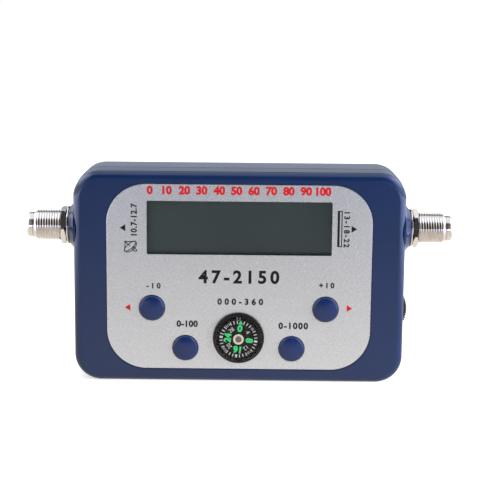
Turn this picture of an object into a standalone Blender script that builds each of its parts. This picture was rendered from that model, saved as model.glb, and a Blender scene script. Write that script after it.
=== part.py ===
"""Satellite signal meter: a pocket meter screwed into the coaxial line between a dish and its receiver.

Metres, +Z up, front face towards -Y. The meter stands upright on its bottom edge, and the origin is in the
middle of that edge's flat. Depths are counted from the front face towards +Y.
"""

import math

import bmesh
import bpy
from mathutils import Matrix

# Clearances that every piece shares
SEAT_GAP = 0.0003
SLIDE_GAP = 0.0002
SEAM_GAP = 0.0002
GLUE_GAP = 0.0001
OVERRUN = 0.001
ROOT = 0.0008

# Housing
BODY_WIDTH = 0.1018
BODY_HEIGHT = 0.0658
BODY_DEPTH = 0.025
CORNER_RADIUS = 0.0083
FRONT_FILLET = 0.002
REAR_FILLET = 0.0025
WALL = 0.0022
DRAFT_ANGLE = math.radians(1.2)
LIP_HEIGHT = 0.0014
LIP_WALL_SHARE = 0.5
RIB = 0.0012
RIB_DROP = 0.001

# Panel overlay, in a shallow recess of the front face
PANEL_SIDE_MARGIN = 0.01035
PANEL_TOP_MARGIN = 0.0038
PANEL_BOTTOM_MARGIN = 0.0042
PANEL_RADIUS = 0.0122
PANEL_RECESS = 0.0006
PANEL_THICKNESS = 0.0004

# Display, from the window inwards
WINDOW_WIDTH = 0.0565
WINDOW_HEIGHT = 0.0166
WINDOW_RADIUS = 0.0004
WINDOW_MARGIN = 0.0016
WINDOW_LEDGE = 0.0007
GLASS_WIDTH = 0.062
GLASS_HEIGHT = 0.0216
GLASS_THICKNESS = 0.002
FRAME_WALL = 0.0012
FRAME_LEDGE = 0.0006
FRAME_TOP_GAP = 0.0029
BACKLIGHT_THICKNESS = 0.0016
STRIP_HEIGHT = 0.0016
STRIP_GAP = 0.0014
RAIL_LENGTH = 0.04
RAIL_HEIGHT = 0.002

# Main board
BOARD_THICKNESS = 0.0016
BOARD_MARGIN = 0.0012
BOARD_RADIUS = 0.001
STANDOFF_RADIUS = 0.0024
STANDOFF_SHARES = ((0.84, 0.834), (0.63, 0.082))
BOARD_SCREW_HEAD = 0.0019
BOARD_SCREW_HEAD_HEIGHT = 0.0012
BOARD_SCREW_RADIUS = 0.00085
BOARD_SCREW_LENGTH = 0.0045

# Cover screws, and the posts that they join
POST_INSET = 0.0048
FRONT_POST_RADIUS = 0.0032
REAR_POST_RADIUS = 0.0035
COVER_SCREW_HEAD = 0.0023
COVER_SCREW_HEAD_HEIGHT = 0.0017
COVER_SCREW_RADIUS = 0.00115
COVER_SCREW_TIP = 0.0015
COUNTERBORE_DEPTH = 0.004

# Buttons, at shares of the panel's half width and height
CAP_RADIUS = 0.0039
CAP_PROUD = 0.0011
CAP_CROWN = 0.00035
CAP_EDGE = 0.0006
CAP_FLANGE = 0.0011
CAP_FLANGE_HEIGHT = 0.0008
BUTTON_TRAVEL = 0.0004
SWITCH_WIDTH = 0.0062
SWITCH_FLOOR = 0.0007
PLUNGER_RADIUS = 0.0016
BUTTON_SHARES = {
    "attenuator_down": (-0.658, 0.333),
    "attenuator_up": (0.658, 0.333),
    "light": (-0.404, 0.115),
    "buzzer": (0.404, 0.115),
}

# Compass, whose card hangs low on its pivot while the meter stands upright
COMPASS_HEIGHT_SHARE = 0.173
BEZEL_RADIUS = 0.0079
BEZEL_PROUD = 0.001
BEZEL_CHAMFER = 0.0003
COMPASS_RADIUS = 0.00745
COMPASS_FLOOR = 0.0008
COMPASS_WALL = 0.0005
LENS_THICKNESS = 0.0007
LENS_SEAT = 0.0003
CARD_THICKNESS = 0.0004
CARD_CLEARANCE = 0.00025
CARD_SAG = 0.00055
MAGNET_RADIUS = 0.0036
MAGNET_THICKNESS = 0.001
JEWEL_RIM = 0.0002
JEWEL_HEAD = 0.00035
JEWEL_WALL = 0.00045
JEWEL_DIMPLE = 0.0006
PIVOT_RADIUS = 0.0003
PIVOT_TIP = 0.0003
PIVOT_FOOT_RADIUS = 0.0012
PIVOT_FOOT_HEIGHT = 0.0005

# Thumbwheel and the potentiometer that it turns
WHEEL_RADIUS = 0.0089
WHEEL_THICKNESS = 0.0022
WHEEL_PROUD = 0.002
WHEEL_POST_GAP = 0.0014
WHEEL_TEETH = 64
TOOTH_DEPTH = 0.0004
WHEEL_BASE_WIDTH = 0.0072
WHEEL_BASE_HEIGHT = 0.003
WHEEL_BASE_EDGE = 0.0005
WHEEL_BASE_FLOOR = 0.0006
WHEEL_SCREW_HEAD = 0.002
WHEEL_SCREW_HEAD_HEIGHT = 0.001
WHEEL_SCREW_RADIUS = 0.0009
SLOT_GAP = 0.0006

# Coaxial connectors, on one line through both sides
LINE_POST_GAP = 0.0013
BOSS_PROUD = 0.00175
BOSS_RIM = 0.00085
BOSS_FRONT_MARGIN = 0.001
BOSS_EDGE = 0.0003
BARREL_RADIUS = 0.00475
BARREL_LENGTH = 0.01025
BARREL_EDGE = 0.0004
NOSE_RADIUS = 0.0038
NOSE_TIP_RADIUS = 0.0031
NOSE_LENGTH = 0.0028
MOUTH_RADIUS = 0.002
MOUTH_LIP = 0.0005
NOSE_WALL = 0.0004
FLANGE_RIM = 0.00175
FLANGE_THICKNESS = 0.0016
TAIL_RADIUS = 0.004
TAIL_LENGTH = 0.0025
CONTACT_RADIUS = 0.0005
CONTACT_RECESS = 0.0012
CONTACT_INSIDE = 0.001
WASHER_RIM = 0.0011
WASHER_THICKNESS = 0.00045
NUT_WALL = 0.0008
NUT_THICKNESS = 0.002
NUT_CHAMFER = 0.0003
NUT_SIDES = 6
NUT_TURN = {"left": math.radians(-8.2), "right": math.radians(33.3)}

# Components on the back of the board
SHIELD_WALL = 0.0005
SHIELD_HEIGHT = 0.007
SHIELD_HALF_LENGTH = 0.008
SHIELD_INSET = 0.0048
SHIELD_SLOT = 0.001
BUZZER_RADIUS = 0.006
BUZZER_HEIGHT = 0.0063
BUZZER_HOLE_RADIUS = 0.001
BUZZER_HOLE_DEPTH = 0.002
CAPACITOR_RADIUS = 0.00315
CAPACITOR_HEIGHT = 0.0077
CAPACITOR_EDGE = 0.0005
CAPACITOR_GROOVE = 0.0004
CAPACITOR_GROOVE_HEIGHT = 0.001
CHOKE_RADIUS = 0.004
CHOKE_HEIGHT = 0.0045
CHOKE_RIM = 0.0008
CHOKE_WAIST = 0.0009
CHIP_WIDTH = 0.012
CHIP_HEIGHT = 0.0016
REGULATOR_WIDTH = 0.0065
REGULATOR_HEIGHT = 0.0023
CRYSTAL_WIDTH = 0.0105
CRYSTAL_BREADTH = 0.0042
CRYSTAL_HEIGHT = 0.0035
CHIP_SHARES = (0.3, 0.687)
BUZZER_SHARES = (-0.42, 0.523)
CAPACITOR_SHARES = (-0.76, 0.572)
REGULATOR_SHARES = (-0.72, 0.278)
CRYSTAL_SHARES = (0.58, 0.736)
CHOKE_SHARES = (0.58, 0.327)

# Fineness of round forms
ROUND_STEPS = 28
SMALL_STEPS = 14
CORNER_STEPS = 7
FILLET_STEPS = 3
ARC_STEPS = 2
ROUND_PROFILE = 0.5
BOSS_TWIST_SHARE = 0.5
BORE_TWIST_SHARE = 0.25
SMOOTH_ANGLE = math.radians(30)
TINY = 0.000001

# Places that follow from the sizes
FRONT_Y = -BODY_DEPTH / 2
REAR_Y = BODY_DEPTH / 2
INNER_Y = FRONT_Y + WALL
REAR_INNER_Y = REAR_Y - WALL
PANEL_FACE = PANEL_RECESS - GLUE_GAP - PANEL_THICKNESS
GLASS_Y = INNER_Y + SEAT_GAP
GLASS_BACK_Y = GLASS_Y + GLASS_THICKNESS
BACKLIGHT_Y = GLASS_BACK_Y + SEAT_GAP
BACKLIGHT_BACK_Y = BACKLIGHT_Y + BACKLIGHT_THICKNESS
BOARD_Y = BACKLIGHT_BACK_Y + SEAT_GAP
BOARD_BACK_Y = BOARD_Y + BOARD_THICKNESS
PARTS_Y = BOARD_BACK_Y + SEAT_GAP
LINE_Y = PARTS_Y + CONTACT_RADIUS
PARTING_Y = LINE_Y
HALF_WIDTH = BODY_WIDTH / 2
INNER_HALF = HALF_WIDTH - WALL
INNER_TOP = BODY_HEIGHT - WALL
PANEL_HALF = HALF_WIDTH - PANEL_SIDE_MARGIN
PANEL_TOP = BODY_HEIGHT - PANEL_TOP_MARGIN
PANEL_HEIGHT = PANEL_TOP - PANEL_BOTTOM_MARGIN
FRAME_HALF = GLASS_HEIGHT / 2 + SLIDE_GAP + FRAME_WALL
DISPLAY_Z = INNER_TOP - FRAME_TOP_GAP - FRAME_HALF
BOARD_HALF = INNER_HALF - BOARD_MARGIN
BOARD_BOTTOM = WALL + BOARD_MARGIN
BOARD_TOP = INNER_TOP - BOARD_MARGIN
POST_X = INNER_HALF - POST_INSET
POST_ZS = (WALL + POST_INSET, INNER_TOP - POST_INSET)
COMPASS_Z = PANEL_BOTTOM_MARGIN + COMPASS_HEIGHT_SHARE * PANEL_HEIGHT
CARD_Z = COMPASS_Z - CARD_SAG
WHEEL_X = HALF_WIDTH + WHEEL_PROUD - WHEEL_RADIUS
WHEEL_Z = POST_ZS[0] + REAR_POST_RADIUS + WHEEL_POST_GAP + WHEEL_RADIUS
WHEEL_Y = PARTS_Y + WHEEL_BASE_HEIGHT + SEAT_GAP
WHEEL_BACK_Y = WHEEL_Y + WHEEL_THICKNESS
FLANGE_RADIUS = BARREL_RADIUS + FLANGE_RIM
LINE_Z = POST_ZS[1] - REAR_POST_RADIUS - LINE_POST_GAP - FLANGE_RADIUS
BOSS_REACH = HALF_WIDTH + BOSS_PROUD
NOSE_REACH = BOSS_REACH + BARREL_LENGTH
TIP_REACH = NOSE_REACH + NOSE_LENGTH
FLANGE_REACH = INNER_HALF - SEAT_GAP
TAIL_REACH = FLANGE_REACH - FLANGE_THICKNESS - TAIL_LENGTH
SHIELD_HALF = TAIL_REACH - SHIELD_INSET

# Which way a turned profile's height axis faces
FACING = {
    "front": (math.pi / 2, 0, 0),
    "rear": (-math.pi / 2, 0, 0),
    "right": (0, math.pi / 2, 0),
    "left": (0, -math.pi / 2, 0),
}

# Colours as 0 to 255, then roughness and metallic
FINISHES = {
    "housing_blue": ((40, 54, 98), 0.42, 0),
    "button_blue": ((36, 52, 104), 0.35, 0),
    "panel_silver": ((192, 193, 198), 0.45, 0.1),
    "window_clear": ((210, 216, 214), 0.08, 0),
    "display_grey": ((74, 86, 82), 0.2, 0),
    "backlight_white": ((225, 230, 220), 0.5, 0),
    "frame_black": ((24, 24, 26), 0.5, 0),
    "strip_pink": ((190, 120, 120), 0.7, 0),
    "board_green": ((22, 84, 48), 0.4, 0),
    "compass_black": ((22, 23, 24), 0.32, 0),
    "card_black": ((16, 17, 18), 0.5, 0),
    "lens_clear": ((235, 240, 240), 0.04, 0),
    "wheel_black": ((26, 27, 29), 0.5, 0),
    "nickel": ((198, 192, 182), 0.22, 1),
    "brass": ((186, 150, 84), 0.28, 1),
    "steel": ((150, 150, 152), 0.3, 1),
    "magnet_grey": ((70, 70, 74), 0.4, 1),
    "tinplate": ((176, 178, 180), 0.3, 1),
    "insulator_white": ((226, 224, 214), 0.45, 0),
    "chip_black": ((28, 28, 30), 0.55, 0),
    "can_aluminium": ((170, 172, 176), 0.35, 1),
    "ferrite": ((52, 50, 50), 0.6, 0),
}


def clear_scene():
    for obj in list(bpy.data.objects):
        bpy.data.objects.remove(obj, do_unlink=True)


def new_collection(name):
    group = bpy.data.collections.new(name)
    bpy.context.scene.collection.children.link(group)
    return group


def linear(value):
    share = value / 255
    return share / 12.92 if share <= 0.04045 else ((share + 0.055) / 1.055) ** 2.4


def finish_of(name):
    """The Principled material of one finish, made the first time that it is asked for."""
    if name in bpy.data.materials:
        return bpy.data.materials[name]
    colour, roughness, metallic = FINISHES[name]
    made = bpy.data.materials.new(name)
    made.use_nodes = True
    shader = made.node_tree.nodes["Principled BSDF"]
    shader.inputs["Base Color"].default_value = (*map(linear, colour), 1)
    shader.inputs["Roughness"].default_value = roughness
    shader.inputs["Metallic"].default_value = metallic
    return made


def add_object(name, mesh, place, finish=None, turn=(0, 0, 0)):
    """Puts a mesh in the scene as a part with a finish or, without one, as a hidden helper."""
    obj = bpy.data.objects.new(name, mesh)
    obj.location = place
    obj.rotation_euler = turn
    if finish:
        mesh.materials.append(finish_of(finish))
        bpy.data.collections[PARTS].objects.link(obj)
    else:
        obj.hide_render = True
        obj.display_type = "WIRE"
        bpy.data.collections[HELPERS].objects.link(obj)
    return obj


def mesh_of(name, bm):
    mesh = bpy.data.meshes.new(name)
    bm.to_mesh(mesh)
    bm.free()
    mesh.shade_smooth()
    mesh.set_sharp_from_angle(angle=SMOOTH_ANGLE)
    return mesh


def round_edges(bm, edges, radius, steps):
    bmesh.ops.bevel(
        bm,
        geom=edges,
        offset=radius,
        offset_type="OFFSET",
        segments=steps,
        profile=ROUND_PROFILE,
        affect="EDGES",
    )


def edges_along(bm, axis):
    found = []
    for edge in bm.edges:
        run = edge.verts[0].co - edge.verts[1].co
        if run.length - abs(run[axis]) < TINY:
            found.append(edge)
    return found


def block(name, x, y, z, finish=None, radius=0, steps=CORNER_STEPS, axis=1):
    """A box that spans x, y and z, each a (low, high) pair, with its edges along one axis rounded."""
    spans = (x, y, z)
    bm = bmesh.new()
    bmesh.ops.create_cube(bm, size=1)
    bmesh.ops.scale(bm, vec=[high - low for low, high in spans], verts=bm.verts)
    if radius:
        round_edges(bm, edges_along(bm, axis), radius, steps)
    return add_object(name, mesh_of(name, bm), [(low + high) / 2 for low, high in spans], finish)


def around(centre, half):
    return (centre - half, centre + half)


def drafted_block(name, face_y, inset, fillet=0, past=OVERRUN, finish=None):
    """The housing's outline from a little past the parting plane to a face, leaning in by the draft.

    It is flat below, where the meter stands. The inset shrinks it on every side, as for a wall's hollow.
    """
    lean = math.tan(DRAFT_ANGLE)
    sign = 1 if face_y > PARTING_Y else -1
    open_y = PARTING_Y - sign * past
    reach = abs(face_y - PARTING_Y)
    open_half = HALF_WIDTH - inset + lean * past
    face_half = HALF_WIDTH - inset - lean * reach
    open_height = BODY_HEIGHT - 2 * inset + lean * past
    face_height = BODY_HEIGHT - 2 * inset - lean * reach
    bm = bmesh.new()
    bmesh.ops.create_cube(bm, size=1)
    bmesh.ops.scale(bm, vec=(2 * open_half, abs(face_y - open_y), open_height), verts=bm.verts)
    round_edges(bm, edges_along(bm, 1), CORNER_RADIUS - inset, CORNER_STEPS)
    bmesh.ops.translate(bm, vec=(0, (face_y + open_y) / 2, open_height / 2), verts=bm.verts)
    face_verts = [vert for vert in bm.verts if abs(vert.co.y - face_y) < TINY]
    shrink = (face_half / open_half, 1, face_height / open_height)
    bmesh.ops.scale(bm, vec=shrink, verts=face_verts)
    if fillet:
        rim = [edge for edge in bm.edges if all(vert in face_verts for vert in edge.verts)]
        round_edges(bm, rim, fillet, FILLET_STEPS)
    return add_object(name, mesh_of(name, bm), (0, 0, inset), finish)


def straight_outline(name, y, inset):
    """The housing's outline in the parting plane, shrunk on every side, as a straight block."""
    x = around(0, HALF_WIDTH - inset)
    z = (inset, BODY_HEIGHT - inset)
    return block(name, x, y, z, radius=CORNER_RADIUS - inset)


def arc(centre, radius, start, stop, steps=ARC_STEPS):
    """Points of an arc in a profile, its angles counted from the radius axis towards the height axis."""
    points = []
    for step in range(steps + 1):
        angle = start + (stop - start) * step / steps
        points.append((centre[0] + radius * math.cos(angle), centre[1] + radius * math.sin(angle)))
    return points


def turned(name, profile, place, facing, finish=None, steps=ROUND_STEPS, twist_share=0):
    """A profile of (radius, height) points, from its top down its outer side, turned into a solid.

    A profile that starts and ends on the axis is a solid of revolution, and any other is closed into a ring.
    The twist is the share of one step that the facets turn by, so that no corner meets another solid's.
    """
    bm = bmesh.new()
    angle = twist_share * 2 * math.pi / steps
    side = (math.cos(angle), math.sin(angle))
    verts = [bm.verts.new((radius * side[0], radius * side[1], height)) for radius, height in profile]
    for first, second in zip(verts, verts[1:]):
        bm.edges.new((first, second))
    if profile[0][0] or profile[-1][0]:
        bm.edges.new((verts[-1], verts[0]))
    obj = add_object(name, mesh_of(name, bm), place, finish, FACING[facing])
    screw = obj.modifiers.new("turn", "SCREW")
    screw.steps = steps
    screw.render_steps = steps
    screw.use_merge_vertices = True
    screw.merge_threshold = TINY
    screw.use_smooth_shade = True
    return settle(obj)


def settle(obj):
    """Applies an object's modifiers, and marks its edges sharp by angle."""
    bpy.context.view_layer.update()
    graph = bpy.context.evaluated_depsgraph_get()
    mesh = bpy.data.meshes.new_from_object(obj.evaluated_get(graph))
    obj.modifiers.clear()
    obj.data = mesh
    mesh.name = obj.name
    mesh.set_sharp_from_angle(angle=SMOOTH_ANGLE)
    return obj


def rod(name, places, radius, y, steps=SMALL_STEPS):
    """A helper that holds one cylinder along Y at each (x, z) place."""
    bm = bmesh.new()
    for x, z in places:
        upright = Matrix.Translation((x, sum(y) / 2, z)) @ Matrix.Rotation(math.pi / 2, 4, "X")
        bmesh.ops.create_cone(
            bm,
            cap_ends=True,
            segments=steps,
            radius1=radius,
            radius2=radius,
            depth=y[1] - y[0],
            matrix=upright,
        )
    return add_object(name, mesh_of(name, bm), (0, 0, 0))


def combine(target, tool, operation):
    modifier = target.modifiers.new(tool.name, "BOOLEAN")
    modifier.operation = operation
    modifier.solver = "EXACT"
    modifier.object = tool


def cut(target, *tools):
    for tool in tools:
        combine(target, tool, "DIFFERENCE")


def join(target, *tools):
    for tool in tools:
        combine(target, tool, "UNION")


def on_joint(name, place, pieces):
    """Parents a moving body's pieces to an empty on its joint's axis, and leaves them where they are."""
    empty = bpy.data.objects.new(name, None)
    empty.location = place
    bpy.data.collections[PARTS].objects.link(empty)
    for piece in pieces:
        piece.parent = empty
        piece.matrix_parent_inverse = Matrix.Translation(place).inverted()


def board_place(shares):
    """The (x, z) on the board at shares of its half width and of its field below the tuner's shield."""
    field = LINE_Z - SHIELD_HALF_LENGTH - BOARD_BOTTOM
    return (shares[0] * BOARD_HALF, BOARD_BOTTOM + shares[1] * field)


def button_place(name):
    side, height = BUTTON_SHARES[name]
    return (side * PANEL_HALF, PANEL_BOTTOM_MARGIN + height * PANEL_HEIGHT)


def post_places():
    return [(side * POST_X, z) for side in (-1, 1) for z in POST_ZS]


def standoff_places():
    return [board_place((side * x, z)) for side in (-1, 1) for x, z in STANDOFF_SHARES]


def side_boss(name, facing):
    """The round swelling of the side wall that a connector's nut is tightened against."""
    face = BARREL_RADIUS + SEAT_GAP + BOSS_RIM
    foot = LINE_Y - FRONT_Y - BOSS_FRONT_MARGIN
    profile = [
        (0, BOSS_REACH),
        (face - BOSS_EDGE, BOSS_REACH),
        (face, BOSS_REACH - BOSS_EDGE),
        (foot, HALF_WIDTH),
        (foot, HALF_WIDTH - ROOT),
        (0, HALF_WIDTH - ROOT),
    ]
    return turned(name, profile, (0, LINE_Y, LINE_Z), facing, twist_share=BOSS_TWIST_SHARE)


def line_bore(name, facing):
    """The hole of a connector's barrel through the side wall."""
    radius = BARREL_RADIUS + SEAT_GAP
    ends = (BOSS_REACH + OVERRUN, INNER_HALF - OVERRUN)
    profile = [(0, ends[0]), (radius, ends[0]), (radius, ends[1]), (0, ends[1])]
    return turned(name, profile, (0, LINE_Y, LINE_Z), facing, twist_share=BORE_TWIST_SHARE)


def slot_half_height():
    """Half the height of the thumbwheel's slot, from where the wheel crosses the inside of the wall."""
    return math.sqrt(WHEEL_RADIUS**2 - (INNER_HALF - WHEEL_X) ** 2) + SLOT_GAP


def outer_shell(name, face_y, fillet, beyond):
    """One cover's outer form, still solid: its drafted block with both bosses, cut off at its parting plane.

    Beyond is the pair of depths, from the parting plane on, that the cut takes away.
    """
    cover = drafted_block(name, face_y, 0, fillet, finish="housing_blue")
    for facing in ("left", "right"):
        join(cover, side_boss(f"{name}_boss_{facing}", facing))
    wide = around(0, BOSS_REACH + OVERRUN)
    high = (-OVERRUN, BODY_HEIGHT + OVERRUN)
    cut(cover, block(f"{name}_parting_cut", wide, beyond, high))
    return cover


def front_cover():
    """Front shell: leaning walls, filleted rim, lip, panel recess, openings, posts, standoffs and rails."""
    cover = outer_shell("front_cover", FRONT_Y, FRONT_FILLET, (PARTING_Y, REAR_Y))

    # The lip that enters the rear shell, and the tab that closes the thumbwheel's slot
    lip_inset = WALL * LIP_WALL_SHARE + SLIDE_GAP
    join(cover, straight_outline("front_lip", (PARTING_Y - ROOT, PARTING_Y + LIP_HEIGHT), lip_inset))
    tab = drafted_block("front_slot_tab", REAR_Y, GLUE_GAP)
    tab_y = (PARTING_Y - ROOT, WHEEL_Y - SLOT_GAP)
    tab_z = around(WHEEL_Z, slot_half_height() - SLIDE_GAP)
    limits = block("front_slot_tab_limits", (INNER_HALF - OVERRUN, BOSS_REACH), tab_y, tab_z)
    combine(tab, limits, "INTERSECT")
    join(cover, tab)
    cut(cover, drafted_block("front_hollow", INNER_Y, WALL, past=WHEEL_Y - PARTING_Y))

    # Recess and openings of the front face
    recess_half = PANEL_HALF + SLIDE_GAP
    recess_z = (PANEL_BOTTOM_MARGIN - SLIDE_GAP, PANEL_TOP + SLIDE_GAP)
    recess_y = (FRONT_Y - OVERRUN, FRONT_Y + PANEL_RECESS)
    recess = block("panel_recess", around(0, recess_half), recess_y, recess_z, radius=PANEL_RADIUS)
    window = display_block("window_opening", WINDOW_WIDTH, WINDOW_HEIGHT, (FRONT_Y, INNER_Y + OVERRUN))
    rebate_y = (FRONT_Y + PANEL_RECESS + WINDOW_LEDGE, INNER_Y + OVERRUN)
    rebate_width = WINDOW_WIDTH + 2 * (WINDOW_MARGIN + SLIDE_GAP)
    rebate_height = WINDOW_HEIGHT + 2 * (WINDOW_MARGIN + SLIDE_GAP)
    rebate = display_block("window_rebate", rebate_width, rebate_height, rebate_y)
    through = (FRONT_Y - OVERRUN, INNER_Y + OVERRUN)
    buttons = [button_place(name) for name in BUTTON_SHARES]
    holes = rod("button_holes", buttons, CAP_RADIUS + SLIDE_GAP, through, ROUND_STEPS)
    compass = rod("compass_hole", [(0, COMPASS_Z)], COMPASS_RADIUS + SLIDE_GAP, through, ROUND_STEPS)
    cut(cover, recess, window, rebate, holes, compass)

    # Screw posts with ribs to the side walls, board standoffs, and rails above and below the display
    post_y = (INNER_Y - ROOT, PARTING_Y)
    join(cover, rod("front_posts", post_places(), FRONT_POST_RADIUS, post_y))
    for side in (-1, 1):
        for number, z in enumerate(POST_ZS):
            x = sorted((side * POST_X, side * (INNER_HALF + ROOT)))
            y = (INNER_Y - ROOT, PARTING_Y - RIB_DROP)
            join(cover, block(f"front_rib_{side}_{number}", x, y, around(z, RIB / 2)))
    standoff_y = (INNER_Y - ROOT, BOARD_Y - SEAT_GAP)
    join(cover, rod("standoffs", standoff_places(), STANDOFF_RADIUS, standoff_y))
    rail_drop = FRAME_HALF + SEAT_GAP + RIB / 2
    for sign, name in ((-1, "rail_below"), (1, "rail_above")):
        z = around(DISPLAY_Z + sign * rail_drop, RIB / 2)
        y = (INNER_Y - ROOT, INNER_Y + RAIL_HEIGHT)
        join(cover, block(name, around(0, RAIL_LENGTH / 2), y, z))
    post_hole_y = (INNER_Y, PARTING_Y + OVERRUN)
    post_holes = rod("front_post_holes", post_places(), COVER_SCREW_RADIUS + SEAT_GAP, post_hole_y)
    standoff_holes = rod(
        "standoff_holes",
        standoff_places(),
        BOARD_SCREW_RADIUS + SEAT_GAP,
        (INNER_Y, BOARD_Y + OVERRUN),
    )
    cut(cover, post_holes, standoff_holes)
    for facing in ("left", "right"):
        cut(cover, line_bore(f"front_bore_{facing}", facing))


def rear_cover():
    """Rear shell: leaning walls, filleted rim, rebate for the lip, counterbored posts and wheel slot."""
    rim_y = PARTING_Y + SEAM_GAP
    cover = outer_shell("rear_cover", REAR_Y, REAR_FILLET, (FRONT_Y, rim_y))
    cut(cover, drafted_block("rear_hollow", REAR_INNER_Y, WALL))
    rebate_y = (PARTING_Y - OVERRUN, PARTING_Y + LIP_HEIGHT + SEAT_GAP)
    cut(cover, straight_outline("rear_rebate", rebate_y, WALL * LIP_WALL_SHARE))

    # Posts, counterbored from the back
    join(cover, rod("rear_posts", post_places(), REAR_POST_RADIUS, (rim_y, REAR_Y - ROOT)))
    bore_y = (REAR_Y - COUNTERBORE_DEPTH, REAR_Y + OVERRUN)
    counterbores = rod("counterbores", post_places(), COVER_SCREW_HEAD + SEAT_GAP, bore_y, ROUND_STEPS)
    shank_y = (PARTING_Y - OVERRUN, REAR_Y)
    shank_holes = rod("shank_holes", post_places(), COVER_SCREW_RADIUS + SEAT_GAP, shank_y)
    cut(cover, counterbores, shank_holes)

    # Slot for the thumbwheel, open to the parting plane so that the shell can be slid over the wheel
    slot_x = (INNER_HALF - OVERRUN, BOSS_REACH)
    slot_y = (PARTING_Y - OVERRUN, WHEEL_BACK_Y + SLOT_GAP)
    cut(cover, block("wheel_slot", slot_x, slot_y, around(WHEEL_Z, slot_half_height())))
    for facing in ("left", "right"):
        cut(cover, line_bore(f"rear_bore_{facing}", facing))


def display_block(name, width, height, y, finish=None, shift=0):
    """A slightly rounded plate on the display's centre."""
    z = around(DISPLAY_Z + shift, height / 2)
    return block(name, around(0, width / 2), y, z, finish, WINDOW_RADIUS, ARC_STEPS)


def panel_overlay():
    face_y = FRONT_Y + PANEL_FACE
    y = (face_y, face_y + PANEL_THICKNESS)
    z = (PANEL_BOTTOM_MARGIN, PANEL_TOP)
    panel = block("panel_overlay", around(0, PANEL_HALF), y, z, "panel_silver", PANEL_RADIUS)
    through = (FRONT_Y - OVERRUN, INNER_Y)
    window = display_block("panel_window", WINDOW_WIDTH, WINDOW_HEIGHT, through)
    buttons = [button_place(name) for name in BUTTON_SHARES]
    holes = rod("panel_button_holes", buttons, CAP_RADIUS + SLIDE_GAP, through, ROUND_STEPS)
    compass = rod(
        "panel_compass_hole", [(0, COMPASS_Z)], COMPASS_RADIUS + SLIDE_GAP, through, ROUND_STEPS
    )
    cut(panel, window, holes, compass)


def display():
    """Window, holder, cell, backlight and contact strip, from the front to the board."""
    window_width = WINDOW_WIDTH + 2 * WINDOW_MARGIN
    window_height = WINDOW_HEIGHT + 2 * WINDOW_MARGIN
    window_y = (FRONT_Y + PANEL_RECESS + WINDOW_LEDGE + GLUE_GAP, INNER_Y)
    display_block("display_window", window_width, window_height, window_y, "window_clear")
    display_block("display_glass", GLASS_WIDTH, GLASS_HEIGHT, (GLASS_Y, GLASS_BACK_Y), "display_grey")
    hole_width = GLASS_WIDTH + 2 * SLIDE_GAP
    hole_height = GLASS_HEIGHT + 2 * SLIDE_GAP
    frame_width = hole_width + 2 * FRAME_WALL
    frame_y = (GLASS_Y, BACKLIGHT_BACK_Y)
    frame = display_block("display_frame", frame_width, 2 * FRAME_HALF, frame_y, "frame_black")
    cell = display_block("frame_cell", hole_width, hole_height, (FRONT_Y, GLASS_BACK_Y + GLUE_GAP))
    ledge_width = hole_width - 2 * FRAME_LEDGE
    ledge_height = hole_height - 2 * FRAME_LEDGE
    ledge = display_block("frame_opening", ledge_width, ledge_height, (FRONT_Y, BOARD_Y))
    cut(frame, cell, ledge)
    layer_y = (BACKLIGHT_Y, BACKLIGHT_BACK_Y)
    width = ledge_width - 2 * SLIDE_GAP
    light_height = ledge_height - STRIP_HEIGHT - STRIP_GAP - 2 * SLIDE_GAP
    light_shift = (ledge_height - light_height) / 2 - SLIDE_GAP
    display_block("display_backlight", width, light_height, layer_y, "backlight_white", light_shift)
    strip_shift = SLIDE_GAP - (ledge_height - STRIP_HEIGHT) / 2
    display_block("display_contact_strip", width, STRIP_HEIGHT, layer_y, "strip_pink", strip_shift)


def main_board():
    """The circuit board, notched for the screw posts and the connectors."""
    y = (BOARD_Y, BOARD_BACK_Y)
    z = (BOARD_BOTTOM, BOARD_TOP)
    board = block("main_board", around(0, BOARD_HALF), y, z, "board_green", BOARD_RADIUS, ARC_STEPS)
    through = (BOARD_Y - OVERRUN, BOARD_BACK_Y + OVERRUN)
    room = REAR_POST_RADIUS + SEAT_GAP
    low_z = (0, POST_ZS[0] + room)
    high_z = (min(POST_ZS[1] - room, LINE_Z + FLANGE_RADIUS), BODY_HEIGHT)
    line_z = (LINE_Z - FLANGE_RADIUS - SEAT_GAP, high_z[0] + OVERRUN)
    for side in (-1, 1):
        post_x = sorted((side * (POST_X - room), side * BOSS_REACH))
        line_x = sorted((side * (TAIL_REACH - SEAT_GAP), side * BOSS_REACH))
        cut(
            board,
            block(f"board_low_notch_{side}", post_x, through, low_z),
            block(f"board_high_notch_{side}", post_x, through, high_z),
            block(f"board_line_notch_{side}", line_x, through, line_z),
        )
    cut(board, rod("board_screw_holes", standoff_places(), BOARD_SCREW_RADIUS + SEAT_GAP, through))


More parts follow.
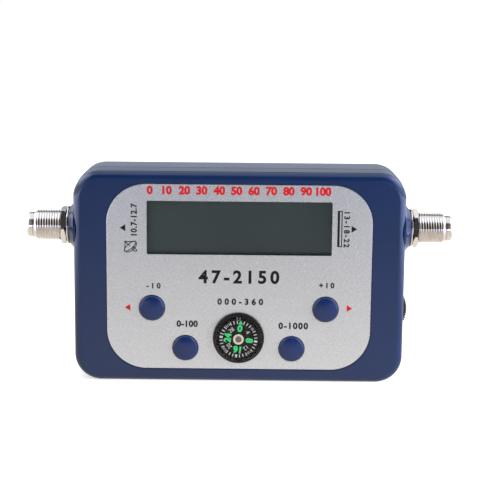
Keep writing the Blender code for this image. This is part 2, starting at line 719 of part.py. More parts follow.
def button(name):
    """A domed cap held behind the front wall by its flange, the plunger that it presses, and the switch."""
    x, z = button_place(name)
    crown_height = CAP_PROUD - CAP_CROWN
    flat = CAP_RADIUS - CAP_EDGE
    flange_radius = CAP_RADIUS + CAP_FLANGE
    flange_top = -WALL - SEAT_GAP
    flange_bottom = flange_top - CAP_FLANGE_HEIGHT
    bend = (flat**2 + CAP_CROWN**2) / (2 * CAP_CROWN)
    half_angle = math.asin(flat / bend)
    crown = arc((0, CAP_PROUD - bend), bend, math.pi / 2, math.pi / 2 - half_angle)
    crown[0] = (0, CAP_PROUD)
    edge = arc((flat, crown_height - CAP_EDGE), CAP_EDGE, math.pi / 2 - half_angle, 0)
    profile = crown[:-1] + edge
    profile += [
        (CAP_RADIUS, flange_top),
        (flange_radius, flange_top),
        (flange_radius, flange_bottom),
        (0, flange_bottom),
    ]
    cap = turned(f"{name}_button", profile, (x, FRONT_Y, z), "front", "button_blue")

    cap_back = FRONT_Y - flange_bottom
    switch_y = (cap_back + BUTTON_TRAVEL + SEAT_GAP, BOARD_Y - SEAT_GAP)
    half = SWITCH_WIDTH / 2
    switch = block(f"{name}_switch", around(x, half), switch_y, around(z, half), "frame_black")
    well_y = (FRONT_Y, switch_y[1] - SWITCH_FLOOR)
    cut(switch, rod(f"{name}_well", [(x, z)], PLUNGER_RADIUS + SLIDE_GAP, well_y))
    top = -(cap_back + SEAT_GAP - FRONT_Y)
    bottom = -(well_y[1] - BUTTON_TRAVEL - SLIDE_GAP - FRONT_Y)
    profile = [(0, top), (PLUNGER_RADIUS, top), (PLUNGER_RADIUS, bottom), (0, bottom)]
    plunger = turned(
        f"{name}_plunger", profile, (x, FRONT_Y, z), "front", "insulator_white", SMALL_STEPS
    )
    on_joint(f"{name}_slide", (x, FRONT_Y, z), (cap, plunger))


def compass():
    """A button compass: cup, lens and needle pivot, and the card that turns with its magnet and jewel."""
    place = (0, FRONT_Y, COMPASS_Z)
    flange_back = GLUE_GAP - PANEL_FACE
    inner = COMPASS_RADIUS - COMPASS_WALL
    seat = inner + LENS_SEAT
    lens_back = BEZEL_PROUD - BEZEL_CHAMFER / 2 - LENS_THICKNESS
    cup_back = FRONT_Y - BOARD_Y + SEAT_GAP
    floor = cup_back + COMPASS_FLOOR
    profile = [
        (seat, BEZEL_PROUD),
        (BEZEL_RADIUS - BEZEL_CHAMFER, BEZEL_PROUD),
        (BEZEL_RADIUS, BEZEL_PROUD - BEZEL_CHAMFER),
        (BEZEL_RADIUS, flange_back),
        (COMPASS_RADIUS, flange_back),
        (COMPASS_RADIUS, cup_back),
        (0, cup_back),
        (0, floor),
        (inner, floor),
        (inner, lens_back - GLUE_GAP),
        (seat, lens_back - GLUE_GAP),
    ]
    ring = profile[7:] + profile[:7]
    turned("compass_housing", ring, place, "front", "compass_black")
    lens_radius = seat - GLUE_GAP
    lens_front = lens_back + LENS_THICKNESS
    profile = [(0, lens_front), (lens_radius, lens_front), (lens_radius, lens_back), (0, lens_back)]
    turned("compass_lens", profile, place, "front", "lens_clear")

    jewel_front = lens_back - CARD_CLEARANCE
    jewel_back = jewel_front - JEWEL_HEAD
    jewel_bore = PIVOT_RADIUS + CARD_SAG + SLIDE_GAP
    stem = jewel_bore + JEWEL_WALL
    card_radius = inner - CARD_SAG - SLIDE_GAP
    card_front = jewel_back - GLUE_GAP
    card_back = card_front - CARD_THICKNESS
    magnet_front = card_back - SLIDE_GAP
    magnet_back = magnet_front - MAGNET_THICKNESS
    needle_top = jewel_back - JEWEL_WALL - SLIDE_GAP
    foot_back = floor + GLUE_GAP
    profile = [
        (0, needle_top),
        (PIVOT_RADIUS, needle_top - PIVOT_TIP),
        (PIVOT_RADIUS, foot_back + PIVOT_FOOT_HEIGHT),
        (PIVOT_FOOT_RADIUS, foot_back + PIVOT_FOOT_HEIGHT),
        (PIVOT_FOOT_RADIUS, foot_back),
        (0, foot_back),
    ]
    turned("compass_pivot", profile, place, "front", "steel", SMALL_STEPS)

    card_place = (0, FRONT_Y, CARD_Z)
    hub = stem + SLIDE_GAP
    profile = [(hub, card_front), (card_radius, card_front), (card_radius, card_back), (hub, card_back)]
    card = turned("compass_card", profile, card_place, "front", "card_black")
    profile = [
        (hub, magnet_front),
        (MAGNET_RADIUS, magnet_front),
        (MAGNET_RADIUS, magnet_back),
        (hub, magnet_back),
    ]
    magnet = turned("compass_magnet", profile, card_place, "front", "magnet_grey", SMALL_STEPS)
    profile = [
        (0, jewel_front - JEWEL_HEAD / 2),
        (JEWEL_DIMPLE, jewel_front),
        (stem + JEWEL_RIM - JEWEL_HEAD / 2, jewel_front),
        (stem + JEWEL_RIM, jewel_front - JEWEL_HEAD / 2),
        (stem + JEWEL_RIM, jewel_back),
        (stem, jewel_back),
        (stem, magnet_back),
        (jewel_bore, magnet_back),
        (jewel_bore, jewel_back - JEWEL_WALL),
        (0, jewel_back - JEWEL_WALL / 2),
    ]
    jewel = turned("compass_cap", profile, card_place, "front", "nickel", SMALL_STEPS)
    on_joint("compass_turn", card_place, (card, magnet, jewel))


def thumbwheel():
    """The toothed wheel, the potentiometer under it, and the screw that holds them together."""
    bm = bmesh.new()
    bmesh.ops.create_circle(bm, cap_ends=True, segments=2 * WHEEL_TEETH, radius=WHEEL_RADIUS)
    root_share = 1 - TOOTH_DEPTH / WHEEL_RADIUS
    for number, vert in enumerate(list(bm.verts)):
        if number % 2:
            vert.co *= root_share
    top = bmesh.ops.extrude_face_region(bm, geom=list(bm.faces))["geom"]
    raised = [item for item in top if isinstance(item, bmesh.types.BMVert)]
    bmesh.ops.translate(bm, vec=(0, 0, WHEEL_THICKNESS), verts=raised)
    bmesh.ops.recalc_face_normals(bm, faces=bm.faces)
    place = (WHEEL_X, WHEEL_Y, WHEEL_Z)
    wheel = add_object("thumbwheel", mesh_of("thumbwheel", bm), place, "wheel_black", FACING["rear"])
    hub = WHEEL_SCREW_RADIUS + SLIDE_GAP
    through = (PARTS_Y, WHEEL_BACK_Y + OVERRUN)
    cut(wheel, rod("wheel_bore", [(WHEEL_X, WHEEL_Z)], hub, through))

    half = WHEEL_BASE_WIDTH / 2
    base_y = (PARTS_Y, PARTS_Y + WHEEL_BASE_HEIGHT)
    x = around(WHEEL_X, half)
    z = around(WHEEL_Z, half)
    base = block("thumbwheel_base", x, base_y, z, "chip_black", WHEEL_BASE_EDGE, ARC_STEPS)
    well_y = (PARTS_Y + WHEEL_BASE_FLOOR, WHEEL_Y)
    cut(base, rod("wheel_base_well", [(WHEEL_X, WHEEL_Z)], hub, well_y))

    head_back = WHEEL_BACK_Y + SEAT_GAP
    head_top = head_back + WHEEL_SCREW_HEAD_HEIGHT
    screw_end = well_y[0] + SEAT_GAP
    screw = screw_solid(
        "thumbwheel_screw",
        (WHEEL_X, head_back, WHEEL_Z),
        "rear",
        (WHEEL_SCREW_HEAD, head_top - head_back),
        (WHEEL_SCREW_RADIUS, head_back - screw_end, WHEEL_SCREW_RADIUS),
    )
    on_joint("thumbwheel_turn", place, (wheel, screw))


def screw_solid(name, place, facing, head, shank):
    """A screw, from the seat of its head: the head's radius and height; the shank's radius, length, tip."""
    head_radius, head_height = head
    radius, length, tip = shank
    profile = [
        (0, head_height),
        (head_radius - head_height / 2, head_height),
        (head_radius, head_height / 2),
        (head_radius, 0),
        (radius, 0),
        (radius, tip - length),
        (0, -length),
    ]
    return turned(name, profile, place, facing, "steel", SMALL_STEPS)


def fasteners():
    """Cover screws from the back into the front posts, and board screws into the standoffs."""
    seat_y = REAR_Y - COUNTERBORE_DEPTH + SEAT_GAP
    reach = seat_y - INNER_Y - SEAT_GAP - COVER_SCREW_RADIUS
    for number, (x, z) in enumerate(post_places(), 1):
        screw_solid(
            f"cover_screw_{number}",
            (x, seat_y, z),
            "rear",
            (COVER_SCREW_HEAD, COVER_SCREW_HEAD_HEIGHT),
            (COVER_SCREW_RADIUS, reach, COVER_SCREW_TIP),
        )
    for number, (x, z) in enumerate(standoff_places(), 1):
        screw_solid(
            f"board_screw_{number}",
            (x, PARTS_Y, z),
            "rear",
            (BOARD_SCREW_HEAD, BOARD_SCREW_HEAD_HEIGHT),
            (BOARD_SCREW_RADIUS, BOARD_SCREW_LENGTH, BOARD_SCREW_RADIUS),
        )


def connector(side):
    """A coaxial jack: threaded body with an inner flange and a nose, insulator, contact, washer and nut."""
    place = (0, LINE_Y, LINE_Z)
    bore = NOSE_TIP_RADIUS - NOSE_WALL
    flange_back = FLANGE_REACH - FLANGE_THICKNESS
    profile = [
        (MOUTH_RADIUS, TIP_REACH),
        (NOSE_TIP_RADIUS, TIP_REACH),
        (NOSE_RADIUS, NOSE_REACH + BARREL_EDGE),
        (BARREL_RADIUS - BARREL_EDGE, NOSE_REACH),
        (BARREL_RADIUS, NOSE_REACH - BARREL_EDGE),
        (BARREL_RADIUS, FLANGE_REACH),
        (FLANGE_RADIUS, FLANGE_REACH),
        (FLANGE_RADIUS, flange_back),
        (TAIL_RADIUS, flange_back),
        (TAIL_RADIUS, TAIL_REACH),
        (bore, TAIL_REACH),
        (bore, TIP_REACH - MOUTH_LIP),
        (MOUTH_RADIUS, TIP_REACH - MOUTH_LIP),
    ]
    turned(f"connector_body_{side}", profile, place, side, "nickel")
    outer = bore - SEAT_GAP
    hole = CONTACT_RADIUS + SEAT_GAP
    front = TIP_REACH - MOUTH_LIP - SEAT_GAP
    back = TAIL_REACH - SEAT_GAP
    profile = [(hole, front), (outer, front), (outer, back), (hole, back)]
    turned(f"connector_insulator_{side}", profile, place, side, "insulator_white", SMALL_STEPS)
    front = TIP_REACH - MOUTH_LIP - CONTACT_RECESS
    back = SHIELD_HALF - SHIELD_WALL - CONTACT_INSIDE
    profile = [(0, front), (CONTACT_RADIUS, front), (CONTACT_RADIUS, back), (0, back)]
    turned(f"connector_contact_{side}", profile, place, side, "brass", SMALL_STEPS)

    washer_back = BOSS_REACH + GLUE_GAP
    washer_front = washer_back + WASHER_THICKNESS
    hole = BARREL_RADIUS + SLIDE_GAP
    rim = BARREL_RADIUS + WASHER_RIM
    profile = [(hole, washer_front), (rim, washer_front), (rim, washer_back), (hole, washer_back)]
    turned(f"connector_washer_{side}", profile, place, side, "nickel")
    hex_nut(side, washer_front + GLUE_GAP)


def hex_nut(side, back):
    """The hexagon nut outside the wall, with chamfered corners, left at the turn where it came tight."""
    sign = 1 if side == "right" else -1
    corner = (BARREL_RADIUS + NUT_WALL) / math.cos(math.pi / NUT_SIDES)
    front = back + NUT_THICKNESS
    bm = bmesh.new()
    bmesh.ops.create_cone(
        bm,
        cap_ends=True,
        segments=NUT_SIDES,
        radius1=corner,
        radius2=corner,
        depth=NUT_THICKNESS,
        matrix=Matrix.Rotation(-NUT_TURN[side], 4, "X") @ Matrix.Rotation(math.pi / 2, 4, "Y"),
    )
    name = f"connector_nut_{side}"
    nut = add_object(name, mesh_of(name, bm), (sign * (front + back) / 2, LINE_Y, LINE_Z), "nickel")
    place = (0, LINE_Y, LINE_Z)
    bevel_radius = corner + TINY
    profile = [
        (0, front + OVERRUN),
        (corner - NUT_CHAMFER - OVERRUN, front + OVERRUN),
        (bevel_radius, front - NUT_CHAMFER),
        (bevel_radius, back + NUT_CHAMFER),
        (corner - NUT_CHAMFER - OVERRUN, back - OVERRUN),
        (0, back - OVERRUN),
    ]
    combine(nut, turned(f"nut_chamfer_{side}", profile, place, side), "INTERSECT")
    radius = BARREL_RADIUS + SLIDE_GAP
    ends = (front + OVERRUN, back - OVERRUN)
    profile = [(0, ends[0]), (radius, ends[0]), (radius, ends[1]), (0, ends[1])]
    cut(nut, turned(f"nut_bore_{side}", profile, place, side))


def tuner_shield():
    """A tinplate box, open towards the board, with a notch at each end for the connector's contact."""
    y = (PARTS_Y, PARTS_Y + SHIELD_HEIGHT)
    x = around(0, SHIELD_HALF)
    z = around(LINE_Z, SHIELD_HALF_LENGTH)
    shield = block("tuner_shield", x, y, z, "tinplate")
    hollow_y = (PARTS_Y - OVERRUN, y[1] - SHIELD_WALL)
    hollow_z = around(LINE_Z, SHIELD_HALF_LENGTH - SHIELD_WALL)
    hollow = block("shield_hollow", around(0, SHIELD_HALF - SHIELD_WALL), hollow_y, hollow_z)
    notch_y = (PARTS_Y - OVERRUN, LINE_Y + CONTACT_RADIUS + SEAT_GAP)
    wide = around(0, SHIELD_HALF + OVERRUN)
    notch = block("shield_notch", wide, notch_y, around(LINE_Z, SHIELD_SLOT))
    cut(shield, hollow, notch)


def board_components():
    """The larger components behind the board, each standing on it."""
    x, z = board_place(BUZZER_SHARES)
    profile = [
        (0, BUZZER_HEIGHT - BUZZER_HOLE_DEPTH),
        (BUZZER_HOLE_RADIUS, BUZZER_HEIGHT - BUZZER_HOLE_DEPTH),
        (BUZZER_HOLE_RADIUS, BUZZER_HEIGHT),
        (BUZZER_RADIUS, BUZZER_HEIGHT),
        (BUZZER_RADIUS, 0),
        (0, 0),
    ]
    turned("buzzer", profile, (x, PARTS_Y, z), "rear", "chip_black", SMALL_STEPS)

    x, z = board_place(CAPACITOR_SHARES)
    groove = CAPACITOR_RADIUS - CAPACITOR_GROOVE
    profile = [
        (0, CAPACITOR_HEIGHT),
        (CAPACITOR_RADIUS - CAPACITOR_EDGE, CAPACITOR_HEIGHT),
        (CAPACITOR_RADIUS, CAPACITOR_HEIGHT - CAPACITOR_EDGE),
        (CAPACITOR_RADIUS, CAPACITOR_GROOVE_HEIGHT + CAPACITOR_GROOVE),
        (groove, CAPACITOR_GROOVE_HEIGHT),
        (CAPACITOR_RADIUS, CAPACITOR_GROOVE_HEIGHT - CAPACITOR_GROOVE),
        (CAPACITOR_RADIUS, 0),
        (0, 0),
    ]
    turned("filter_capacitor", profile, (x, PARTS_Y, z), "rear", "can_aluminium", SMALL_STEPS)

    x, z = board_place(CHOKE_SHARES)
    waist = CHOKE_RADIUS - CHOKE_WAIST
    profile = [
        (0, CHOKE_HEIGHT),
        (CHOKE_RADIUS, CHOKE_HEIGHT),
        (CHOKE_RADIUS, CHOKE_HEIGHT - CHOKE_RIM),
        (waist, CHOKE_HEIGHT - CHOKE_RIM),
        (waist, CHOKE_RIM),
        (CHOKE_RADIUS, CHOKE_RIM),
        (CHOKE_RADIUS, 0),
        (0, 0),
    ]
    turned("choke", profile, (x, PARTS_Y, z), "rear", "ferrite", SMALL_STEPS)

    standing_block("control_chip", CHIP_SHARES, (CHIP_WIDTH, CHIP_WIDTH, CHIP_HEIGHT), "chip_black")
    standing_block(
        "voltage_regulator",
        REGULATOR_SHARES,
        (REGULATOR_WIDTH, REGULATOR_WIDTH, REGULATOR_HEIGHT),
        "chip_black",
    )
    standing_block(
        "crystal",
        CRYSTAL_SHARES,
        (CRYSTAL_WIDTH, CRYSTAL_BREADTH, CRYSTAL_HEIGHT),
        "tinplate",
        CRYSTAL_BREADTH / 2 - GLUE_GAP,
    )


def standing_block(name, shares, size, finish, radius=0):
    x, z = board_place(shares)
    width, breadth, height = size
    y = (PARTS_Y, PARTS_Y + height)
    return block(name, around(x, width / 2), y, around(z, breadth / 2), finish, radius, FILLET_STEPS)


PARTS = "satellite_signal_meter"
HELPERS = "cutters"


def main():
    clear_scene()
    new_collection(PARTS)
    new_collection(HELPERS)
    front_cover()
    rear_cover()
    panel_overlay()
    display()
    main_board()
    for name in BUTTON_SHARES:
        button(name)
    compass()
    thumbwheel()
    fasteners()
    for side in ("left", "right"):
        connector(side)
    tuner_shield()
    board_components()


if __name__ == "__main__":
    main()
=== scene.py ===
"""Looks of the satellite signal meter: fine shells, printed panel, compass, threaded jacks and every finish.

Metres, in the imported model's frame: +X to the right of the display, front face towards -Y, +Z up. Depths are
counted from the front face towards +Y.
"""

import math

import bmesh
import bpy
from mathutils import Matrix, Vector


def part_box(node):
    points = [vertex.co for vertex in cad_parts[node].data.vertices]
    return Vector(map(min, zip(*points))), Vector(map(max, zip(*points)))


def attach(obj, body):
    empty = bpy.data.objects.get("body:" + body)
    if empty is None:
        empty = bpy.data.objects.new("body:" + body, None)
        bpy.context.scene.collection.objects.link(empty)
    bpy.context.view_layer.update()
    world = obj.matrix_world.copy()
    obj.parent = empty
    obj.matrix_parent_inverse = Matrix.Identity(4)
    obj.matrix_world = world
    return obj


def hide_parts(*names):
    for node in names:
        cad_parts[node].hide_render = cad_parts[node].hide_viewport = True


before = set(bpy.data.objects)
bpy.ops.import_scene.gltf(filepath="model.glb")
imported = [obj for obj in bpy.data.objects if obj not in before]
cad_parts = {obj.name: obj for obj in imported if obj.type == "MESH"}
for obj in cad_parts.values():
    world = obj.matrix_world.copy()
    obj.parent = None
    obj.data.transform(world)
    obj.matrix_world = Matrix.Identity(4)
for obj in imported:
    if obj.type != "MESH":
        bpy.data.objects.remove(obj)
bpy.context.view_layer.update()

bl_info = {
    "name": "Satellite signal meter looks",
    "version": (1, 0, 0),
    "blender": (4, 5, 0),
    "location": "View3D > Sidebar > Meter",
    "description": "Models the meter's visible pieces in detail and gives every surface its finish",
    "category": "Object",
}


def face_place(name):
    """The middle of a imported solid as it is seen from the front, as (x, z)."""
    low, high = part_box(name)
    return ((low.x + high.x) / 2, (low.z + high.z) / 2)


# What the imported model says
FRONT_LOW, FRONT_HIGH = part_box("front_cover")
REAR_LOW, REAR_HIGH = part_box("rear_cover")
PANEL_LOW, PANEL_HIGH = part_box("panel_overlay")
WINDOW_LOW, WINDOW_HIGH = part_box("display_window")
CELL_LOW, CELL_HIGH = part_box("display_glass")
CUP_LOW, CUP_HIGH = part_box("compass_housing")
LENS_LOW, LENS_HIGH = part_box("compass_lens")
CARD_LOW, CARD_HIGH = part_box("compass_card")
JEWEL_LOW, JEWEL_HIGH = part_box("compass_cap")
WHEEL_LOW, WHEEL_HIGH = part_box("thumbwheel")
JACK_LOW, JACK_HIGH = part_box("connector_body_right")
WASHER_LOW, WASHER_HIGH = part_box("connector_washer_right")
NUT_LOW, NUT_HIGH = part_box("connector_nut_right")

SIDES = ("left", "right")
SCREW_NUMBERS = range(1, 5)
BUTTON_NAMES = ("attenuator_down", "attenuator_up", "light", "buzzer")

# Clearances that every piece shares
SEAT_GAP = 0.0003
SLIDE_GAP = 0.0002
SEAM_GAP = 0.0002
GLUE_GAP = 0.0001
OVERRUN = 0.001
ROOT = 0.0008
TINY = 0.000001
FIGURE_MERGE = TINY / 10

# Housing
BODY_HALF = 0.0509
BODY_HEIGHT = FRONT_HIGH.z
CORNER_RADIUS = 0.0083
WALL = 0.0022
DRAFT_ANGLE = math.radians(1.2)
LIP_HEIGHT = 0.0014
LIP_WALL_SHARE = 0.5
RIB = 0.0012
RIB_DROP = 0.001
PANEL_RECESS = 0.0006
PANEL_RADIUS = 0.0122
PANEL_EDGE = 0.00018
POST_INSET = 0.0048
FRONT_POST_RADIUS = 0.0032
REAR_POST_RADIUS = 0.0035
STANDOFF_RADIUS = 0.0024
BOARD_SCREW_RADIUS = 0.00085
COVER_SCREW_RADIUS = 0.00115
COVER_SCREW_HEAD = 0.0023
COVER_SCREW_HEAD_HEIGHT = 0.0017
COUNTERBORE_DEPTH = 0.004
COUNTERBORE_EDGE = 0.0002
RAIL_LENGTH = 0.04
RAIL_HEIGHT = 0.002
SLOT_GAP = 0.0006

# Side bosses round the jacks
BOSS_FACE_RADIUS = 0.0059
BOSS_FOOT_RADIUS = 0.0088
BOSS_EDGE = 0.0003
BOSS_FLARE_STEPS = 8

# Display window and cell
FILM_THICKNESS = 0.0001
FILM_MARGIN = 0.0015
GLASS_EDGE = 0.0001
WINDOW_MARGIN = 0.0016
WINDOW_LEDGE = 0.0007
WINDOW_RADIUS = 0.0004
WINDOW_EDGE = 0.00012

# Buttons
CAP_PROUD = 0.0011
CAP_CROWN = 0.0003
CAP_EDGE = 0.0008
CAP_FLANGE_HEIGHT = 0.0008
CAP_RADIUS = 0.0039
CAP_EASE = 0.0001

# Compass
BEZEL_CHAMFER = 0.0003
BEZEL_BREAK = 0.0001
CUP_RADIUS = 0.00745
CUP_WALL = 0.0005
CUP_FLOOR = 0.0008
LENS_SEAT = 0.0003
LENS_CROWN = 0.0001

# Jacks
BARREL_RADIUS = 0.00475
BARREL_CHAMFER = 0.0005
NOSE_LENGTH = 0.0028
NOSE_RADIUS = 0.00395
NOSE_TIP = 0.00382
NOSE_ROUND = 0.0009
NOSE_ROUND_END = math.radians(5)
NOSE_GROOVE_START = 0.00065
NOSE_GROOVE = 0.0003
NOSE_GROOVE_DEPTH = 0.00025
NOSE_GROOVE_FLOOR = (0.3, 0.7)
NOSE_CONE = 0.0004
MOUTH_RADIUS = 0.002
MOUTH_LIP = 0.0005
BORE_RADIUS = 0.0027
FLANGE_RADIUS = 0.0065
FLANGE_THICKNESS = 0.0016
TAIL_RADIUS = 0.004
CONTACT_RADIUS = 0.0005
INSULATOR_DISH = (0.0005, 0.0004)
INSULATOR_EDGE = 0.0002
CREST_SHARE = 0.1
ROOT_SHARE = 0.16
CREST_LIFT_SHARE = 0.02
TURNS_PAST_END = 2
NUT_TURN = {"left": math.radians(-3), "right": math.radians(41.5)}
NUT_SIDES = 6
NUT_HALF_FLATS = 0.00535
NUT_FACE_SHARE = 0.94
NUT_CHAMFER_ANGLE = math.radians(30)
NUT_EASE = 0.0002
WASHER_EASE = 0.00008

# Thumbwheel
WHEEL_TEETH = 64
TOOTH_DEPTH = 0.0004
WHEEL_EDGE = 0.0001
WHEEL_SLOPE = 0.0004
WHEEL_BORE = 0.0011
DISH_INNER = 0.0028
DISH_OUTER = 0.0072
DISH_DEPTH = 0.0003

# Compass card, cap and their marks; the stone's dish has shares of its radius and depth
CARD_EASE = 0.00005
CARD_TURN = math.radians(7.3)
CARD_DIVISIONS = 32
JEWEL_HEAD = 0.00035
JEWEL_WALL = 0.00045
JEWEL_DIMPLE = 0.00105
STONE_DISH = ((1, 1), (0.5, 0.6), (0, 0.3))
PIVOT_RADIUS = 0.0003
CARD_SAG = 0.00055
CAP_BORE = PIVOT_RADIUS + CARD_SAG + SLIDE_GAP
TICK_REACH = 0.00588
TICK_LENGTH = 0.001
TICK_WIDTH = 0.00027
WIDE_TICK_WIDTH = 0.00062
HEADING_RADIUS = 0.0034
HEADING_HEIGHT = 0.0021
HEADING_WEIGHT = 0.07
BETWEEN_RADIUS = 0.0036
BETWEEN_HEIGHT = 0.0013
DEGREES_RADIUS = 0.00535
DEGREES_HEIGHT = 0.0008
NORTH_ARROW = (0.0015, 0.0013)
NORTH_ARROW_RADIUS = 0.00512
INDEX_RADIUS = 0.0061
INDEX_SIZE = (0.0011, 0.0011)
INDEX_LINE = 0.00022

# Screws
DRIVE_WIDTH = 0.00055
DRIVE_LENGTH = 0.0027
DRIVE_DEPTH = 0.0011
COVER_SCREW_TIP = 0.0015
COVER_SCREW_DOME_SHARE = 0.7

# Print on the panel: middles as (x, z); a caption has figures, height, middle, turn, weight and spacing
SCALE_PLACE = (-0.0009, 0.0601)
SCALE_LENGTH = 0.0527
SCALE_NUMBERS = range(0, 101, 10)
SCALE_WEIGHT = 0.07
CAPTIONS = (
    ("47-2150", 0.004, (0.0, 0.03334), 0.0, 0.045, 1.39),
    ("-10", 0.00165, (-0.0262, 0.0304), 0.0, 0.06, 1.6),
    ("+10", 0.00165, (0.0269, 0.031), 0.0, 0.06, 1.5),
    ("0-100", 0.00194, (-0.01584, 0.0185), 0.0, 0.06, 1.06),
    ("0-1000", 0.00194, (0.01686, 0.01812), 0.0, 0.06, 1.23),
    ("000-360", 0.00188, (0.00047, 0.02563), 0.0, 0.06, 1.7),
    ("10.7-12.7", 0.0018, (-0.0321, 0.051), -math.pi / 2, 0.05, 1.1),
    ("13-18-22", 0.0017, (0.0327, 0.0484), math.pi / 2, 0.05, 1.35),
)
RED_ARROWS = ((-0.0339, 0.0235), (0.03375, 0.0238))
BLACK_ARROWS = ((-0.0353, 0.0484), (0.0347, 0.0486))
ARROW_SIZE = (0.0021, 0.0017)
DISH_PLACE = (-0.0333, 0.0427)
RECEIVER_PLACE = (0.03058, 0.04865)
RECEIVER_SIZE = (0.00148, 0.0112)
RECEIVER_LINE = 0.0003
RECEIVER_EDGE = 0.0007
DISH_LINE = 0.00026
DISH_RIM = (0.00225, 0.00078)
DISH_BACK = 0.00145
DISH_TILT = math.radians(41)
DISH_HEAD = (-0.00147, 0.0014)
DISH_HEAD_RADIUS = 0.0003
DISH_FOOT = ((0.0007, -0.001), (0.0012, -0.0002), (0.0021, -0.0014), (0.0014, -0.00162), (0.0007, -0.001))
FIGURE_SHARE_OF_SIZE = 0.73
TRIANGLE_HEIGHT_SHARE = 1.5

# Fineness of round forms
RING_STEPS = 96
BORE_STEPS = 90
SMALL_STEPS = 48
OVAL_STEPS = 24
DISC_STEPS = 32
FIGURE_STEPS = 4
THREAD_STEPS = 64
CORNER_STEPS = 20
FILLET_STEPS = 8
EDGE_STEPS = 2
SMOOTH_ANGLE = math.radians(32)
ROUND_PROFILE = 0.5

# Places that follow from the sizes
FRONT_Y = FRONT_LOW.y
REAR_Y = REAR_HIGH.y
PARTING_Y = REAR_LOW.y - SEAM_GAP
INNER_Y = FRONT_Y + WALL
REAR_INNER_Y = REAR_Y - WALL
INNER_HALF = BODY_HALF - WALL
INNER_TOP = BODY_HEIGHT - WALL
BOSS_REACH = FRONT_HIGH.x
LINE_Y = (JACK_LOW.y + JACK_HIGH.y) / 2
LINE_Z = (JACK_LOW.z + JACK_HIGH.z) / 2
TIP_REACH = JACK_HIGH.x
TAIL_REACH = JACK_LOW.x
NOSE_REACH = TIP_REACH - NOSE_LENGTH
FLANGE_REACH = INNER_HALF - SEAT_GAP
POST_X = INNER_HALF - POST_INSET
POST_ZS = (WALL + POST_INSET, INNER_TOP - POST_INSET)
DISPLAY_Z = face_place("display_window")[1]
WINDOW_HALF_WIDTH = WINDOW_HIGH.x - WINDOW_MARGIN
WINDOW_HALF_HEIGHT = (WINDOW_HIGH.z - WINDOW_LOW.z) / 2 - WINDOW_MARGIN
COMPASS_Z = face_place("compass_housing")[1]
CARD_Z = face_place("compass_card")[1]
CUP_INNER = CUP_RADIUS - CUP_WALL
WHEEL_X, WHEEL_Z = face_place("thumbwheel")
WHEEL_RADIUS = (WHEEL_HIGH.x - WHEEL_LOW.x) / 2
SLOT_HALF = math.sqrt(WHEEL_RADIUS**2 - (INNER_HALF - WHEEL_X) ** 2) + SLOT_GAP
BOARD_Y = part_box("main_board")[0].y
POST_PLACES = [(side * POST_X, z) for side in (-1, 1) for z in POST_ZS]
STANDOFF_PLACES = [face_place(f"board_screw_{number}") for number in SCREW_NUMBERS]
BUTTON_PLACES = [face_place(f"{name}_button") for name in BUTTON_NAMES]

# Plain colours, the floor, and the softboxes: where each hangs, what it looks at and its size
BLACK = (0, 0, 0)
WHITE = (1, 1, 1)
DUST = (0.8, 0.8, 0.8)
FLOOR_HALF = 4.0
FLOOR_DROP = 0.00005
FLOOR_PAINT = (0.8, 0.8, 0.8)
FLOOR_SEEN = (0.6, 0.6, 0.6)
SOFTBOXES = {
    "overhead": ((0.0, 0.0, 0.7), (0, 0, 0), 0.8),
    "left": ((-0.55, -0.5, 0.45), (0, 0, 0.03), 0.4),
    "right": ((0.5, -0.18, 0.08), (0, 0, 0.03), 0.3),
}

# What gloss sees of the studio: angles are counted up from the horizon in front, over the top; sides and
# heights are shares of the direction of a look
FRONT_DARK = (0.05, 0.05, 0.05)
FRONT_DARK_TOP = (math.radians(55), math.radians(68))
REAR_DARK = (0.15, 0.15, 0.15)
REAR_DARK_LOW = (math.radians(134), math.radians(142))
REAR_DARK_TOP = (math.radians(157), math.radians(165))
REAR_COLOUR = (0.5, 0.55, 0.62)
OVERHEAD_COLOUR = (1.1, 1.11, 1.14)
SIDE_COLOUR = (3.3, 3.6, 5.0)
SIDE_FRONT_COLOUR = (1.5, 1.45, 1.45)
SIDE_REACH = (0.38, 0.65)
SIDE_FRONT = (-0.5, -0.2)
SIDE_HEIGHT = (0.25, 0.45)

# What gloss sees of the floor, a painted glow and painted shade that the floor gives off, in metres to the
# side and behind
FLOOR_GLOSS = (0.07, 1.0)
FLOOR_GLOSS_REACH = (-0.56, 0.02)
FLOOR_REFLECTION_TINT = (1.0, 0.94, 0.88)
SIDE_GLOSS_REACH = (0.14, 0.36)
REAR_GLOSS_REACH = (0.18, 0.32)

# The range in which most values of a noise lie
NOISE_RANGE = (0.3, 0.7)

# Which way a turned profile's height axis faces
FACING = {
    "front": Matrix.Rotation(math.pi / 2, 4, "X"),
    "rear": Matrix.Rotation(-math.pi / 2, 4, "X"),
    "right": Matrix.Rotation(math.pi / 2, 4, "Y"),
    "left": Matrix.Rotation(-math.pi / 2, 4, "Y"),
}


def linear(red, green, blue):
    """A colour of 0 to 255, as it is seen on a screen, in the renderer's own values."""
    return tuple(linear_share(value / 255) for value in (red, green, blue))


def linear_share(share):
    """One channel of a colour on a screen, by the sRGB curve."""
    return share / 12.92 if share <= 0.04045 else ((share + 0.055) / 1.055) ** 2.4


def real(name, description, default, **kind):
    """A number that a user can change; its kind is its unit or subtype and its limits."""
    return bpy.props.FloatProperty(name=name, description=description, default=default, **kind)


def length(name, description, default):
    return real(name, description, default, min=0, unit="LENGTH", precision=5)


def distance(name, description, default):
    return real(name, description, default, unit="LENGTH", precision=5)


def angle(name, description, degrees):
    return real(name, description, math.radians(degrees), subtype="ANGLE")


def strength(name, description, default):
    return real(name, description, default, min=0)


def colour(name, description, screen):
    return bpy.props.FloatVectorProperty(
        name=name, description=description, default=linear(*screen), subtype="COLOR", size=3, min=0, max=1
    )


